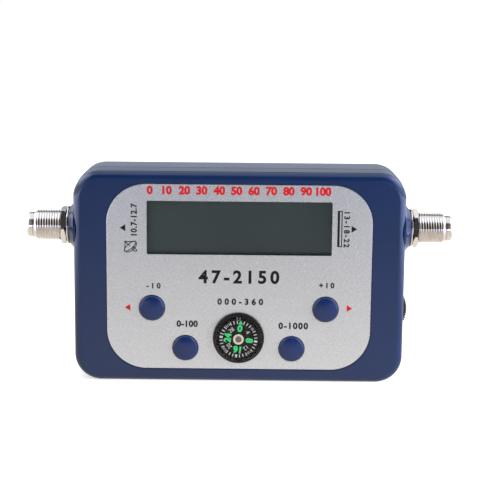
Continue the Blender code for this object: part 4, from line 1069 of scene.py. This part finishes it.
class Print:
    """Marks of one ink, each a thin closed solid on the face y = 0, gathered in one bmesh."""

    def __init__(self, thickness):
        self.thickness = thickness
        self.bm = bmesh.new()

    def on_surface(self):
        """Turns a mark that lies flat round the origin to face the viewer, with its back on the face."""
        return Matrix.Translation((0, -self.thickness / 2, 0)) @ FACING["front"]

    def stamp(self, mark, place, turn=0.0):
        """Adds a mark, turned clockwise about its middle and moved to its place."""
        bmesh.ops.rotate(mark, cent=(0, 0, 0), matrix=Matrix.Rotation(turn, 3, "Y"), verts=mark.verts)
        bmesh.ops.translate(mark, vec=(place[0], 0, place[1]), verts=mark.verts)
        mesh = mesh_of("mark", mark)
        self.bm.from_mesh(mesh)
        bpy.data.meshes.remove(mesh)

    def bar(self, size, place, turn=0.0):
        y = (-self.thickness, 0)
        self.stamp(block(around(0, size[0] / 2), y, around(0, size[1] / 2)), place, turn)

    def disc(self, radius, place, turn=0.0, sides=DISC_STEPS, stretch=1):
        """A disc, or with a few sides a polygon that has a corner at the top; its width can be stretched."""
        bm = bmesh.new()
        add_cone(bm, radius, radius, self.thickness, self.on_surface(), sides)
        bmesh.ops.scale(bm, vec=(stretch, 1, 1), verts=bm.verts)
        bmesh.ops.recalc_face_normals(bm, faces=bm.faces)
        self.stamp(bm, place, turn)

    def path(self, points, width, place):
        """A line of a width through points that are counted from a place."""
        for (x, z), (next_x, next_z) in zip(points, points[1:]):
            run = math.hypot(next_x - x, next_z - z) + width / 2
            middle = (place[0] + (x + next_x) / 2, place[1] + (z + next_z) / 2)
            self.bar((run, width), middle, -math.atan2(next_z - z, next_x - x))

    def arrow(self, size, place, turn=0.0):
        """A triangle of a width and a height whose tip points up."""
        wide, high = size
        radius = high / TRIANGLE_HEIGHT_SHARE
        side = radius * math.sqrt(3)
        self.disc(radius, place, turn, 3, wide / side)

    def arrow_pair(self, places):
        """An arrow to the left and one to the right."""
        for turn, place in zip((-math.pi / 2, math.pi / 2), places):
            self.arrow(ARROW_SIZE, place, turn)

    def number(self, value, height, place, turn=0.0, weight=0.04, spacing=1.0):
        """A number whose figures have a height, and strokes made heavier by a share of it."""
        curve = bpy.data.curves.new("figures", "FONT")
        curve.body = str(value)
        curve.size = height / FIGURE_SHARE_OF_SIZE
        curve.offset = weight * height
        curve.space_character = spacing
        curve.extrude = self.thickness / 2
        curve.align_x = "CENTER"
        curve.align_y = "CENTER"
        curve.resolution_u = FIGURE_STEPS
        obj = placed("figures", curve)
        bpy.context.view_layer.update()
        bm = bmesh.new()
        bm.from_mesh(obj.evaluated_get(bpy.context.evaluated_depsgraph_get()).to_mesh())
        bpy.data.objects.remove(obj)
        bpy.data.curves.remove(curve)
        bmesh.ops.remove_doubles(bm, verts=bm.verts, dist=FIGURE_MERGE)
        middle_x, middle_y = (middle_of(bm, axis) for axis in (0, 1))
        centred = self.on_surface() @ Matrix.Translation((-middle_x, -middle_y, 0))
        bmesh.ops.transform(bm, matrix=centred, verts=bm.verts)
        bmesh.ops.recalc_face_normals(bm, faces=bm.faces)
        self.stamp(bm, place, turn)

    def laid(self, origin):
        """The finished marks, moved from the origin to the face that they are printed on."""
        bmesh.ops.translate(self.bm, vec=origin, verts=self.bm.verts)
        return self.bm


def oval(long, short, tilt, start, stop):
    """Points of part of an oval round (0, 0), its long way tilted up from the right."""
    points = []
    for step in range(OVAL_STEPS + 1):
        angle = start + (stop - start) * step / OVAL_STEPS
        along, across = long * math.cos(angle), short * math.sin(angle)
        turned_x = along * math.cos(tilt) - across * math.sin(tilt)
        points.append((turned_x, along * math.sin(tilt) + across * math.cos(tilt)))
    return points


def middle_of(bm, axis):
    values = [vert.co[axis] for vert in bm.verts]
    return (min(values) + max(values)) / 2


def red_marks(sizes):
    """The red scale over the window, and the red arrows beside the buttons."""
    marks = Print(sizes.ink)
    first = SCALE_PLACE[0] - SCALE_LENGTH / 2
    for share, value in enumerate(SCALE_NUMBERS):
        x = first + SCALE_LENGTH * share / (len(SCALE_NUMBERS) - 1)
        marks.number(value, sizes.number_height, (x, SCALE_PLACE[1]), weight=SCALE_WEIGHT)
    marks.arrow_pair(RED_ARROWS)
    return marks.laid((0, PANEL_LOW.y, 0))


def black_marks(sizes):
    """The black figures: bands, steps and ranges; the black arrows, the dish and the receiver."""
    marks = Print(sizes.ink)
    for value, height, place, turn, weight, spacing in CAPTIONS:
        marks.number(value, height, place, turn, weight, spacing)
    marks.arrow_pair(BLACK_ARROWS)

    long, short = DISH_RIM
    rim = oval(long, short, DISH_TILT, 0, 2 * math.pi)
    for stroke in (rim, oval(long, DISH_BACK, DISH_TILT, math.pi, 2 * math.pi), DISH_FOOT):
        marks.path(stroke, DISH_LINE, DISH_PLACE)
    for end in (rim[0], rim[OVAL_STEPS // 2], (0, 0)):
        marks.path((DISH_HEAD, end), DISH_LINE, DISH_PLACE)
    marks.disc(DISH_HEAD_RADIUS, (DISH_PLACE[0] + DISH_HEAD[0], DISH_PLACE[1] + DISH_HEAD[1]))

    x, z = RECEIVER_PLACE
    wide, high = RECEIVER_SIZE
    marks.bar((RECEIVER_EDGE, high), (x - wide / 2 + RECEIVER_EDGE / 2, z))
    marks.bar((RECEIVER_LINE, high), (x + wide / 2 - RECEIVER_LINE / 2, z))
    for side in (-1, 1):
        marks.bar((wide, RECEIVER_LINE), (x, z + side * (high - RECEIVER_LINE) / 2))
    return marks.laid((0, PANEL_LOW.y, 0))


class METER_OT_panel(bpy.types.Operator):
    """Model the printed panel, its marks and the display"""

    bl_idname = "meter.panel"
    bl_label = "Panel and display"

    def execute(self, context):
        sizes = context.scene.meter_sizes
        piece("panel_sheet", panel_sheet(), "panel_lacquer", "panel", "panel_overlay")
        piece("red_print", red_marks(sizes), "red_ink", "panel")
        piece("black_print", black_marks(sizes), "black_ink", "panel")
        y = (WINDOW_LOW.y, WINDOW_HIGH.y)
        window_z = (WINDOW_LOW.z, WINDOW_HIGH.z)
        plate = eased_plate(around(0, WINDOW_HIGH.x), y, window_z, WINDOW_RADIUS, WINDOW_EDGE)
        piece("window_plate", plate, "clear_plastic", "window", "display_window")
        film_back = CELL_LOW.y + FILM_THICKNESS
        cell_y = (film_back, CELL_HIGH.y)
        cell_z = (CELL_LOW.z, CELL_HIGH.z)
        cell = eased_plate(around(0, CELL_HIGH.x), cell_y, cell_z, WINDOW_RADIUS, GLASS_EDGE)
        piece("display_cell", cell, "cell_glass", "display", "display_glass")
        film_z = (CELL_LOW.z + FILM_MARGIN, CELL_HIGH.z - FILM_MARGIN)
        film = block(around(0, CELL_HIGH.x - FILM_MARGIN), (CELL_LOW.y, film_back - TINY), film_z)
        piece("display_film", film, "display_film", "display")
        return {"FINISHED"}


def button_cap(place):
    """A softly crowned cap with its flange behind the front wall."""
    flat = CAP_RADIUS - CAP_EDGE
    dome, end = crown(flat, CAP_CROWN, CAP_PROUD)
    edge = arc((flat, CAP_PROUD - CAP_CROWN - CAP_EDGE), CAP_EDGE, end, 0, FILLET_STEPS)
    low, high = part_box("light_button")
    flange_radius = (high.x - low.x) / 2
    bottom = proud(high.y)
    top = bottom + CAP_FLANGE_HEIGHT
    profile = dome[:-1] + edge
    profile += [(CAP_RADIUS, top), (flange_radius - CAP_EASE, top), (flange_radius, top - CAP_EASE)]
    profile += [(flange_radius, bottom + CAP_EASE), (flange_radius - CAP_EASE, bottom), (0, bottom)]
    return on_face(profile, place)


class METER_OT_buttons(bpy.types.Operator):
    """Model the four button caps"""

    bl_idname = "meter.buttons"
    bl_label = "Buttons"

    def execute(self, context):
        for name, place in zip(BUTTON_NAMES, BUTTON_PLACES):
            body = "buzzer_key" if name == "buzzer" else name
            piece(f"{name}_cap", button_cap(place), "button_plastic", "button", f"{name}_button", body=body)
        return {"FINISHED"}


def compass_cup():
    """The cup behind the panel and its bezel in front of it."""
    face = proud(CUP_LOW.y)
    flange_back = proud(PANEL_LOW.y) + GLUE_GAP
    bezel_radius = CUP_HIGH.x
    back = proud(CUP_HIGH.y)
    floor = back + CUP_FLOOR
    seat = CUP_INNER + LENS_SEAT
    lens_back = proud(LENS_HIGH.y) - GLUE_GAP
    profile = [(0, floor), (CUP_INNER, floor), (CUP_INNER, lens_back), (seat, lens_back)]
    profile += [(seat, face - BEZEL_BREAK), (seat + BEZEL_BREAK, face)]
    profile += arc((bezel_radius - BEZEL_CHAMFER, face - BEZEL_CHAMFER), BEZEL_CHAMFER, math.pi / 2, 0)
    profile += [(bezel_radius, flange_back), (CUP_RADIUS, flange_back), (CUP_RADIUS, back), (0, back)]
    return on_face(profile, (0, COMPASS_Z))


def compass_lens():
    """The lens, its front slightly crowned."""
    radius = LENS_HIGH.x
    back = proud(LENS_HIGH.y)
    dome = crown(radius, LENS_CROWN, proud(LENS_LOW.y))[0]
    return on_face(dome + [(radius, back), (0, back)], (0, COMPASS_Z))


def card_disc():
    """The card, a thin disc with a hole for its cap and eased edges."""
    hub = CAP_BORE + JEWEL_WALL + SLIDE_GAP
    profile = eased_ring(hub, CARD_HIGH.x, proud(CARD_HIGH.y), proud(CARD_LOW.y), CARD_EASE)
    return on_face(profile, (0, CARD_Z))


def card_cap():
    """The polished cap on the card's middle, with a dimple for its stone."""
    stem = CAP_BORE + JEWEL_WALL
    rim = JEWEL_HIGH.x
    front = proud(JEWEL_LOW.y)
    back = front - JEWEL_HEAD
    end = proud(JEWEL_HIGH.y)
    ease = JEWEL_HEAD / 2
    profile = [(0, front - ease), (JEWEL_DIMPLE - ease / 2, front - ease)]
    profile += arc((JEWEL_DIMPLE + ease, front - ease), ease, math.pi, math.pi / 2)
    profile += arc((rim - ease, front - ease), ease, math.pi / 2, 0)
    profile += [(rim, back), (stem, back), (stem, end), (CAP_BORE, end)]
    profile += [(CAP_BORE, back - JEWEL_WALL), (0, back - JEWEL_WALL / 2)]
    return on_face(profile, (0, CARD_Z), SMALL_STEPS)


def card_stone():
    """The stone in the cap's dimple, dished towards its middle."""
    foot = proud(JEWEL_LOW.y) - JEWEL_HEAD / 2
    radius = JEWEL_DIMPLE - JEWEL_HEAD / 4 - TINY
    depth = JEWEL_HEAD / 6
    profile = [(0, foot + TINY), (radius, foot + TINY)]
    profile += [(radius * reach, foot + depth * height) for reach, height in STONE_DISH]
    return on_face(profile, (0, CARD_Z), SMALL_STEPS)


def around_card(radius, heading):
    return (radius * math.sin(heading), radius * math.cos(heading))


def card_heading(number):
    """The turn from the top to one of the card's divisions."""
    return CARD_TURN + 2 * math.pi * number / CARD_DIVISIONS


def card_green_marks(sizes):
    """The number of every eighth division of the card, and the arrow over the first of them."""
    marks = Print(sizes.ink)
    for value in range(0, CARD_DIVISIONS, CARD_DIVISIONS // 4):
        heading = card_heading(value)
        marks.number(value, HEADING_HEIGHT, around_card(HEADING_RADIUS, heading), heading, HEADING_WEIGHT)
    marks.arrow(NORTH_ARROW, around_card(NORTH_ARROW_RADIUS, CARD_TURN), CARD_TURN)
    return marks.laid((0, CARD_LOW.y, CARD_Z))


def card_white_marks(sizes):
    """The divisions round the card's rim; halfway between the green numbers a white one and its degrees."""
    marks = Print(sizes.ink)
    middle = TICK_REACH - TICK_LENGTH / 2
    quarter = CARD_DIVISIONS // 4
    for number in range(1, CARD_DIVISIONS):
        heading = card_heading(number)
        if number % quarter == quarter // 2:
            marks.number(number, BETWEEN_HEIGHT, around_card(BETWEEN_RADIUS, heading), heading, 0.0)
            degrees = 360 * number // CARD_DIVISIONS
            marks.number(degrees, DEGREES_HEIGHT, around_card(DEGREES_RADIUS, heading), heading, 0.0)
        else:
            wide = TICK_WIDTH if number % quarter else WIDE_TICK_WIDTH
            marks.bar((wide, TICK_LENGTH), around_card(middle, heading), heading)
    return marks.laid((0, CARD_LOW.y, CARD_Z))


def index_marks(sizes):
    """The small open frame on the lens that shows where the heading is read."""
    marks = Print(sizes.ink)
    wide, high = INDEX_SIZE
    for side in (-1, 1):
        marks.bar((INDEX_LINE, high), (side * (wide - INDEX_LINE) / 2, INDEX_RADIUS))
    marks.bar((wide, INDEX_LINE), (0, INDEX_RADIUS - (high - INDEX_LINE) / 2))
    fall = LENS_CROWN * ((INDEX_RADIUS - high / 2) / LENS_HIGH.x) ** 2
    return marks.laid((0, LENS_LOW.y + fall, COMPASS_Z))


class METER_OT_compass(bpy.types.Operator):
    """Model the compass: cup, lens, card with its marks, cap and stone"""

    bl_idname = "meter.compass"
    bl_label = "Compass"

    def execute(self, context):
        sizes = context.scene.meter_sizes
        card = "compass_card"
        piece("compass_cup", compass_cup(), "compass_plastic", "compass_shell", "compass_housing")
        piece("compass_glass", compass_lens(), "clear_plastic", "lens", "compass_lens")
        piece("card_disc", card_disc(), "card_print", "card", "compass_card", body=card)
        piece("card_cap", card_cap(), "nickel_plate", "nickel", "compass_cap", body=card)
        piece("card_stone", card_stone(), "stone", "nickel", body=card)
        piece("card_headings", card_green_marks(sizes), "green_ink", "card", body=card)
        piece("card_divisions", card_white_marks(sizes), "white_ink", "card", body=card)
        piece("compass_index", index_marks(sizes), "grey_ink", "lens")
        return {"FINISHED"}


def wheel_outline():
    """The wheel's disc with flat-topped teeth round its rim."""
    bm = bmesh.new()
    bmesh.ops.create_circle(bm, cap_ends=True, segments=4 * WHEEL_TEETH, radius=WHEEL_RADIUS)
    root_share = 1 - TOOTH_DEPTH / WHEEL_RADIUS
    for number, vert in enumerate(list(bm.verts)):
        if number % 4 in (2, 3):
            vert.co *= root_share
    top = bmesh.ops.extrude_face_region(bm, geom=list(bm.faces))["geom"]
    raised = [item for item in top if isinstance(item, bmesh.types.BMVert)]
    bmesh.ops.translate(bm, vec=(0, 0, WHEEL_HIGH.y - WHEEL_LOW.y), verts=raised)
    bmesh.ops.recalc_face_normals(bm, faces=bm.faces)
    place = Matrix.Translation((WHEEL_X, WHEEL_LOW.y, WHEEL_Z)) @ FACING["rear"]
    bmesh.ops.transform(bm, matrix=place, verts=bm.verts)
    return bm


def thumbwheel():
    """The toothed wheel, its rims broken, with a shallow dish on both faces and a bore for its screw."""
    bm = wheel_outline()
    thickness = WHEEL_HIGH.y - WHEEL_LOW.y
    flat = WHEEL_RADIUS - WHEEL_EDGE - TOOTH_DEPTH
    rim = WHEEL_RADIUS + OVERRUN
    profile = [(0, thickness), (flat, thickness), (rim, thickness - WHEEL_SLOPE)]
    profile += [(rim, WHEEL_SLOPE), (flat, 0), (0, 0)]
    eased = turned(profile, (WHEEL_X, WHEEL_LOW.y, WHEEL_Z), "rear")
    dish = [(DISH_INNER, DISH_DEPTH), (DISH_OUTER, DISH_DEPTH)]
    dish += [(DISH_OUTER, -DISH_DEPTH), (DISH_INNER, -DISH_DEPTH)]
    dishes = [turned(dish, (WHEEL_X, y, WHEEL_Z), "rear") for y in (WHEEL_LOW.y, WHEEL_HIGH.y)]
    bore = rods([(WHEEL_X, WHEEL_Z)], WHEEL_BORE, (WHEEL_LOW.y - OVERRUN, WHEEL_HIGH.y + OVERRUN))
    return worked(bm, ("INTERSECT", [eased]), ("DIFFERENCE", dishes + [bore]))


class METER_OT_thumbwheel(bpy.types.Operator):
    """Model the toothed thumbwheel"""

    bl_idname = "meter.thumbwheel"
    bl_label = "Thumbwheel"

    def execute(self, context):
        piece("toothed_wheel", thumbwheel(), "wheel_plastic", "wheel", "thumbwheel", body="thumbwheel")
        return {"FINISHED"}


def thread_groove(side, sizes):
    """What a thread takes out of a barrel: a sleeve round it, less a screw-shaped rod."""
    pitch = sizes.thread_pitch
    start = WASHER_HIGH.x
    stop = NOSE_REACH + pitch / 2
    crest = BARREL_RADIUS + sizes.thread_depth * CREST_LIFT_SHARE
    root = BARREL_RADIUS - sizes.thread_depth
    flank = (1 - CREST_SHARE - ROOT_SHARE) / 2
    shares = (0, ROOT_SHARE, ROOT_SHARE + flank, ROOT_SHARE + flank + CREST_SHARE)
    corners = tuple(zip((root, root, crest, crest), shares))
    profile = []
    for turn in range(math.ceil((stop - start) / pitch) + 2 * TURNS_PAST_END):
        base = start + (turn - TURNS_PAST_END) * pitch
        profile += [(radius, base + share * pitch) for radius, share in corners]
    rod = turned(profile, (0, LINE_Y, LINE_Z), side, THREAD_STEPS, pitch)
    outer = BARREL_RADIUS + OVERRUN
    inner = root - OVERRUN / 2
    sleeve = on_line([(inner, start), (outer, start), (outer, stop), (inner, stop)], side)
    return worked(sleeve, ("DIFFERENCE", [rod]))


def jack_body(side, sizes):
    """The jack's body: tail, inner flange, threaded barrel, grooved nose with a rolled lip, and bore."""
    groove = NOSE_REACH + NOSE_GROOVE_START
    floor_low, floor_high = (groove + NOSE_GROOVE * share for share in NOSE_GROOVE_FLOOR)
    floor = NOSE_RADIUS - NOSE_GROOVE_DEPTH
    flange_back = FLANGE_REACH - FLANGE_THICKNESS
    lip_middle = (NOSE_TIP - NOSE_ROUND, TIP_REACH - NOSE_ROUND)
    profile = [(MOUTH_RADIUS, TIP_REACH)]
    profile += arc(lip_middle, NOSE_ROUND, math.pi / 2, NOSE_ROUND_END, FILLET_STEPS)
    profile += [(NOSE_RADIUS, groove + NOSE_GROOVE), (floor, floor_high), (floor, floor_low)]
    profile += [(NOSE_RADIUS + TINY, groove), (NOSE_RADIUS + TINY, NOSE_REACH + NOSE_CONE)]
    profile += [(BARREL_RADIUS - BARREL_CHAMFER, NOSE_REACH), (BARREL_RADIUS, NOSE_REACH - BARREL_CHAMFER)]
    profile += [(BARREL_RADIUS, FLANGE_REACH), (FLANGE_RADIUS, FLANGE_REACH), (FLANGE_RADIUS, flange_back)]
    profile += [(TAIL_RADIUS, flange_back), (TAIL_RADIUS, TAIL_REACH), (BORE_RADIUS, TAIL_REACH)]
    profile += [(BORE_RADIUS, TIP_REACH - MOUTH_LIP), (MOUTH_RADIUS, TIP_REACH - MOUTH_LIP)]
    return worked(on_line(profile, side), ("DIFFERENCE", [thread_groove(side, sizes)]))


def jack_washer(side):
    """The flat washer under the nut, its outer edges eased."""
    hole = BARREL_RADIUS + SLIDE_GAP
    rim = WASHER_HIGH.z - LINE_Z
    return on_line(eased_ring(hole, rim, WASHER_LOW.x, WASHER_HIGH.x, WASHER_EASE), side)


def hex_nut(side):
    """The hexagon nut, its upright edges eased and its corners turned off at both ends."""
    sign = 1 if side == "right" else -1
    corner = NUT_HALF_FLATS / math.cos(math.pi / NUT_SIDES)
    low, high = NUT_LOW.x, NUT_HIGH.x
    bm = bmesh.new()
    turn = Matrix.Rotation(-NUT_TURN[side], 4, "X") @ FACING["right"]
    add_cone(bm, corner, corner, high - low, turn, NUT_SIDES)
    round_edges(bm, edges_along(bm, 0), NUT_EASE, EDGE_STEPS)
    place = Matrix.Translation((sign * (low + high) / 2, LINE_Y, LINE_Z))
    bmesh.ops.transform(bm, matrix=place, verts=bm.verts)
    face = NUT_HALF_FLATS * NUT_FACE_SHARE
    reach = corner + OVERRUN
    fall = (reach - face) * math.tan(NUT_CHAMFER_ANGLE)
    profile = [(0, high), (face, high), (reach, high - fall), (reach, low + fall), (face, low), (0, low)]
    bore = cylinder(BARREL_RADIUS + SLIDE_GAP, high + OVERRUN, low - OVERRUN)
    return worked(bm, ("INTERSECT", [on_line(profile, side)]), ("DIFFERENCE", [on_line(bore, side)]))


def jack_insulator(side):
    """The insulator in the jack's mouth, dished round the hole of its contact."""
    low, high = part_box("connector_insulator_right")
    hole = CONTACT_RADIUS + SEAT_GAP
    outer = BORE_RADIUS - SEAT_GAP
    dish_width, dish_depth = INSULATOR_DISH
    profile = [(hole, high.x - dish_depth), (hole + dish_width, high.x)]
    profile += [(outer - INSULATOR_EDGE, high.x), (outer, high.x - INSULATOR_EDGE)]
    profile += [(outer, low.x), (hole, low.x)]
    return on_line(profile, side, SMALL_STEPS)


class METER_OT_jacks(bpy.types.Operator):
    """Model the threaded jacks with their washers, nuts and insulators"""

    bl_idname = "meter.jacks"
    bl_label = "Jacks"

    def execute(self, context):
        sizes = context.scene.meter_sizes
        for side in SIDES:
            piece(f"jack_{side}", jack_body(side, sizes), "nickel_plate", "nickel", f"connector_body_{side}")
            piece(f"washer_{side}", jack_washer(side), "nickel_plate", "nickel", f"connector_washer_{side}")
            piece(f"nut_{side}", hex_nut(side), "nickel_plate", "nickel", f"connector_nut_{side}")
            solid = f"connector_insulator_{side}"
            piece(f"insulator_{side}", jack_insulator(side), "pale_moulding", "pale_moulding", solid)
        return {"FINISHED"}


def cover_screw(solid):
    """A pan-headed screw with a cross recess."""
    low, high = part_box(solid)
    x, z = face_place(solid)
    height = COVER_SCREW_HEAD_HEIGHT
    neck_y = high.y - height
    end = low.y - neck_y
    dome = height * COVER_SCREW_DOME_SHARE
    profile = [(0, height)]
    profile += arc((COVER_SCREW_HEAD - dome, height - dome), dome, math.pi / 2, 0, FILLET_STEPS)
    profile += [(COVER_SCREW_HEAD, 0), (COVER_SCREW_RADIUS, 0)]
    profile += [(COVER_SCREW_RADIUS, end + COVER_SCREW_TIP), (0, end)]
    head = turned(profile, (x, neck_y, z), "rear", SMALL_STEPS)
    y = (high.y - DRIVE_DEPTH, high.y + OVERRUN)
    drives = ((DRIVE_WIDTH, DRIVE_LENGTH), (DRIVE_LENGTH, DRIVE_WIDTH))
    slots = [block(around(x, wide / 2), y, around(z, tall / 2)) for wide, tall in drives]
    return worked(head, ("DIFFERENCE", slots))


class METER_OT_screws(bpy.types.Operator):
    """Model the cover screws in the back"""

    bl_idname = "meter.screws"
    bl_label = "Cover screws"

    def execute(self, context):
        for number in SCREW_NUMBERS:
            solid = f"cover_screw_{number}"
            piece(f"back_screw_{number}", cover_screw(solid), "zinc_steel", "steel", solid)
        return {"FINISHED"}


# The finish of each solid that keeps its own shape
INSIDE_FINISHES = {
    "board_mask": ["main_board"],
    "black_moulding": [
        *("display_frame", "thumbwheel_base", "control_chip", "voltage_regulator", "buzzer"),
        *(f"{name}_switch" for name in BUTTON_NAMES),
    ],
    "pale_moulding": [f"{name}_plunger" for name in BUTTON_NAMES],
    "light_guide": ["display_backlight"],
    "contact_rubber": ["display_contact_strip"],
    "zinc_steel": [
        *("compass_pivot", "thumbwheel_screw"),
        *(f"board_screw_{number}" for number in SCREW_NUMBERS),
    ],
    "sintered": ["compass_magnet", "choke"],
    "gold_flash": [f"connector_contact_{side}" for side in SIDES],
    "tin_plate": ["tuner_shield", "crystal"],
    "drawn_can": ["filter_capacitor"],
}


class METER_OT_inside(bpy.types.Operator):
    """Give the solids that keep their own shape their finishes"""

    bl_idname = "meter.inside"
    bl_label = "Inside"

    def execute(self, context):
        for name, nodes in INSIDE_FINISHES.items():
            for node in nodes:
                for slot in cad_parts[node].material_slots:
                    slot.material = finish(name)
        return {"FINISHED"}


def camera(stage):
    """The camera at its place, turned by its three angles."""
    data = bpy.data.cameras.new("camera")
    data.lens = stage.lens
    obj = placed("camera", data)
    obj.matrix_world = (
        Matrix.Translation((stage.camera_side, stage.camera_back, stage.camera_height))
        @ Matrix.Rotation(-stage.camera_yaw, 4, "Z")
        @ Matrix.Rotation(math.pi / 2 - stage.camera_pitch, 4, "X")
        @ Matrix.Rotation(stage.camera_roll, 4, "Z")
    )
    return obj


def floor():
    """The plain floor that the meter stands on."""
    bm = bmesh.new()
    bmesh.ops.create_grid(bm, x_segments=1, y_segments=1, size=FLOOR_HALF)
    bmesh.ops.translate(bm, vec=(0, 0, -FLOOR_DROP), verts=bm.verts)
    mesh = mesh_of("floor", bm)
    mesh.materials.append(finish("floor_white"))
    placed("floor", mesh)


def softbox(name, place, target, size, power):
    """A square soft light that looks at a target."""
    data = bpy.data.lights.new(name, "AREA")
    data.shape = "SQUARE"
    data.size = size
    data.energy = power
    light = placed(name, data)
    away = Vector(place) - Vector(target)
    light.matrix_world = Matrix.Translation(place) @ away.to_track_quat("Z", "Y").to_matrix().to_4x4()
    light.visible_glossy = False
    light.visible_transmission = False


def surround(level):
    """The world: white where it is seen; in gloss a band overhead between dark ones, and a glow beside."""
    world = bpy.data.worlds.new("studio")
    world.use_nodes = True
    nodes = Nodes(world.node_tree)
    x, y, z = nodes.axes(nodes.add("ShaderNodeTexCoord", {}, {}, "Generated"), "XYZ")
    height = nodes.worked_out("ARCTAN2", z, 0 - y)
    gloss = nodes.mixed(nodes.between(height, *FRONT_DARK_TOP), FRONT_DARK, OVERHEAD_COLOUR)
    gloss = nodes.mixed(nodes.between(height, *REAR_DARK_LOW), gloss, REAR_DARK)
    gloss = nodes.mixed(nodes.between(height, *REAR_DARK_TOP), gloss, REAR_COLOUR)
    behind = nodes.between(y, *SIDE_FRONT) * nodes.between(z, *SIDE_HEIGHT)
    side = nodes.mixed(behind, SIDE_FRONT_COLOUR, SIDE_COLOUR)
    beside = nodes.between(nodes.worked_out("ABSOLUTE", x), *SIDE_REACH)
    gloss = nodes.mixed(beside, gloss, side)
    camera_ray, through, glossy = nodes.rays("Camera", "Transmission", "Glossy")
    seen = nodes.worked_out("MAXIMUM", camera_ray, through)
    shade = nodes.mixed(glossy, (level, level, level), gloss)
    background = world.node_tree.nodes["Background"]
    nodes.feed(background.inputs["Color"], nodes.mixed(seen, shade, WHITE))
    return world


class METER_OT_stage(bpy.types.Operator):
    """Set up the camera, the floor and the light"""

    bl_idname = "meter.stage"
    bl_label = "Stage"

    def execute(self, context):
        scene = context.scene
        stage = scene.meter_stage
        scene.camera = camera(stage)
        floor()
        for name, (place, target, size) in SOFTBOXES.items():
            softbox(name, place, target, size, getattr(stage, name))
        scene.world = surround(stage.surround)
        scene.view_settings.view_transform = "Standard"
        return {"FINISHED"}


class METER_PT_looks(bpy.types.Panel):
    """Lists the meter's pieces and their sizes and colours"""

    bl_label = "Signal meter"
    bl_idname = "METER_PT_looks"
    bl_space_type = "VIEW_3D"
    bl_region_type = "UI"
    bl_category = "Meter"

    def draw(self, context):
        for operator in OPERATORS:
            self.layout.operator(operator.bl_idname)
        for group in (context.scene.meter_sizes, context.scene.meter_colours, context.scene.meter_stage):
            box = self.layout.box()
            for name in group.__annotations__:
                box.prop(group, name)


OPERATORS = (
    METER_OT_shells,
    METER_OT_panel,
    METER_OT_buttons,
    METER_OT_compass,
    METER_OT_thumbwheel,
    METER_OT_jacks,
    METER_OT_screws,
    METER_OT_inside,
    METER_OT_stage,
)
GROUPS = {"meter_sizes": MeterSizes, "meter_colours": MeterColours, "meter_stage": MeterStage}


def register():
    for cls in (*GROUPS.values(), *OPERATORS, METER_PT_looks):
        bpy.utils.register_class(cls)
    for name, group in GROUPS.items():
        setattr(bpy.types.Scene, name, bpy.props.PointerProperty(type=group))


def unregister():
    for name in GROUPS:
        delattr(bpy.types.Scene, name)
    for cls in (METER_PT_looks, *reversed(OPERATORS), *reversed(GROUPS.values())):
        bpy.utils.unregister_class(cls)


def main():
    register()
    bpy.ops.meter.shells()
    bpy.ops.meter.panel()
    bpy.ops.meter.buttons()
    bpy.ops.meter.compass()
    bpy.ops.meter.thumbwheel()
    bpy.ops.meter.jacks()
    bpy.ops.meter.screws()
    bpy.ops.meter.inside()
    bpy.ops.meter.stage()


if __name__ == "__main__":
    main()
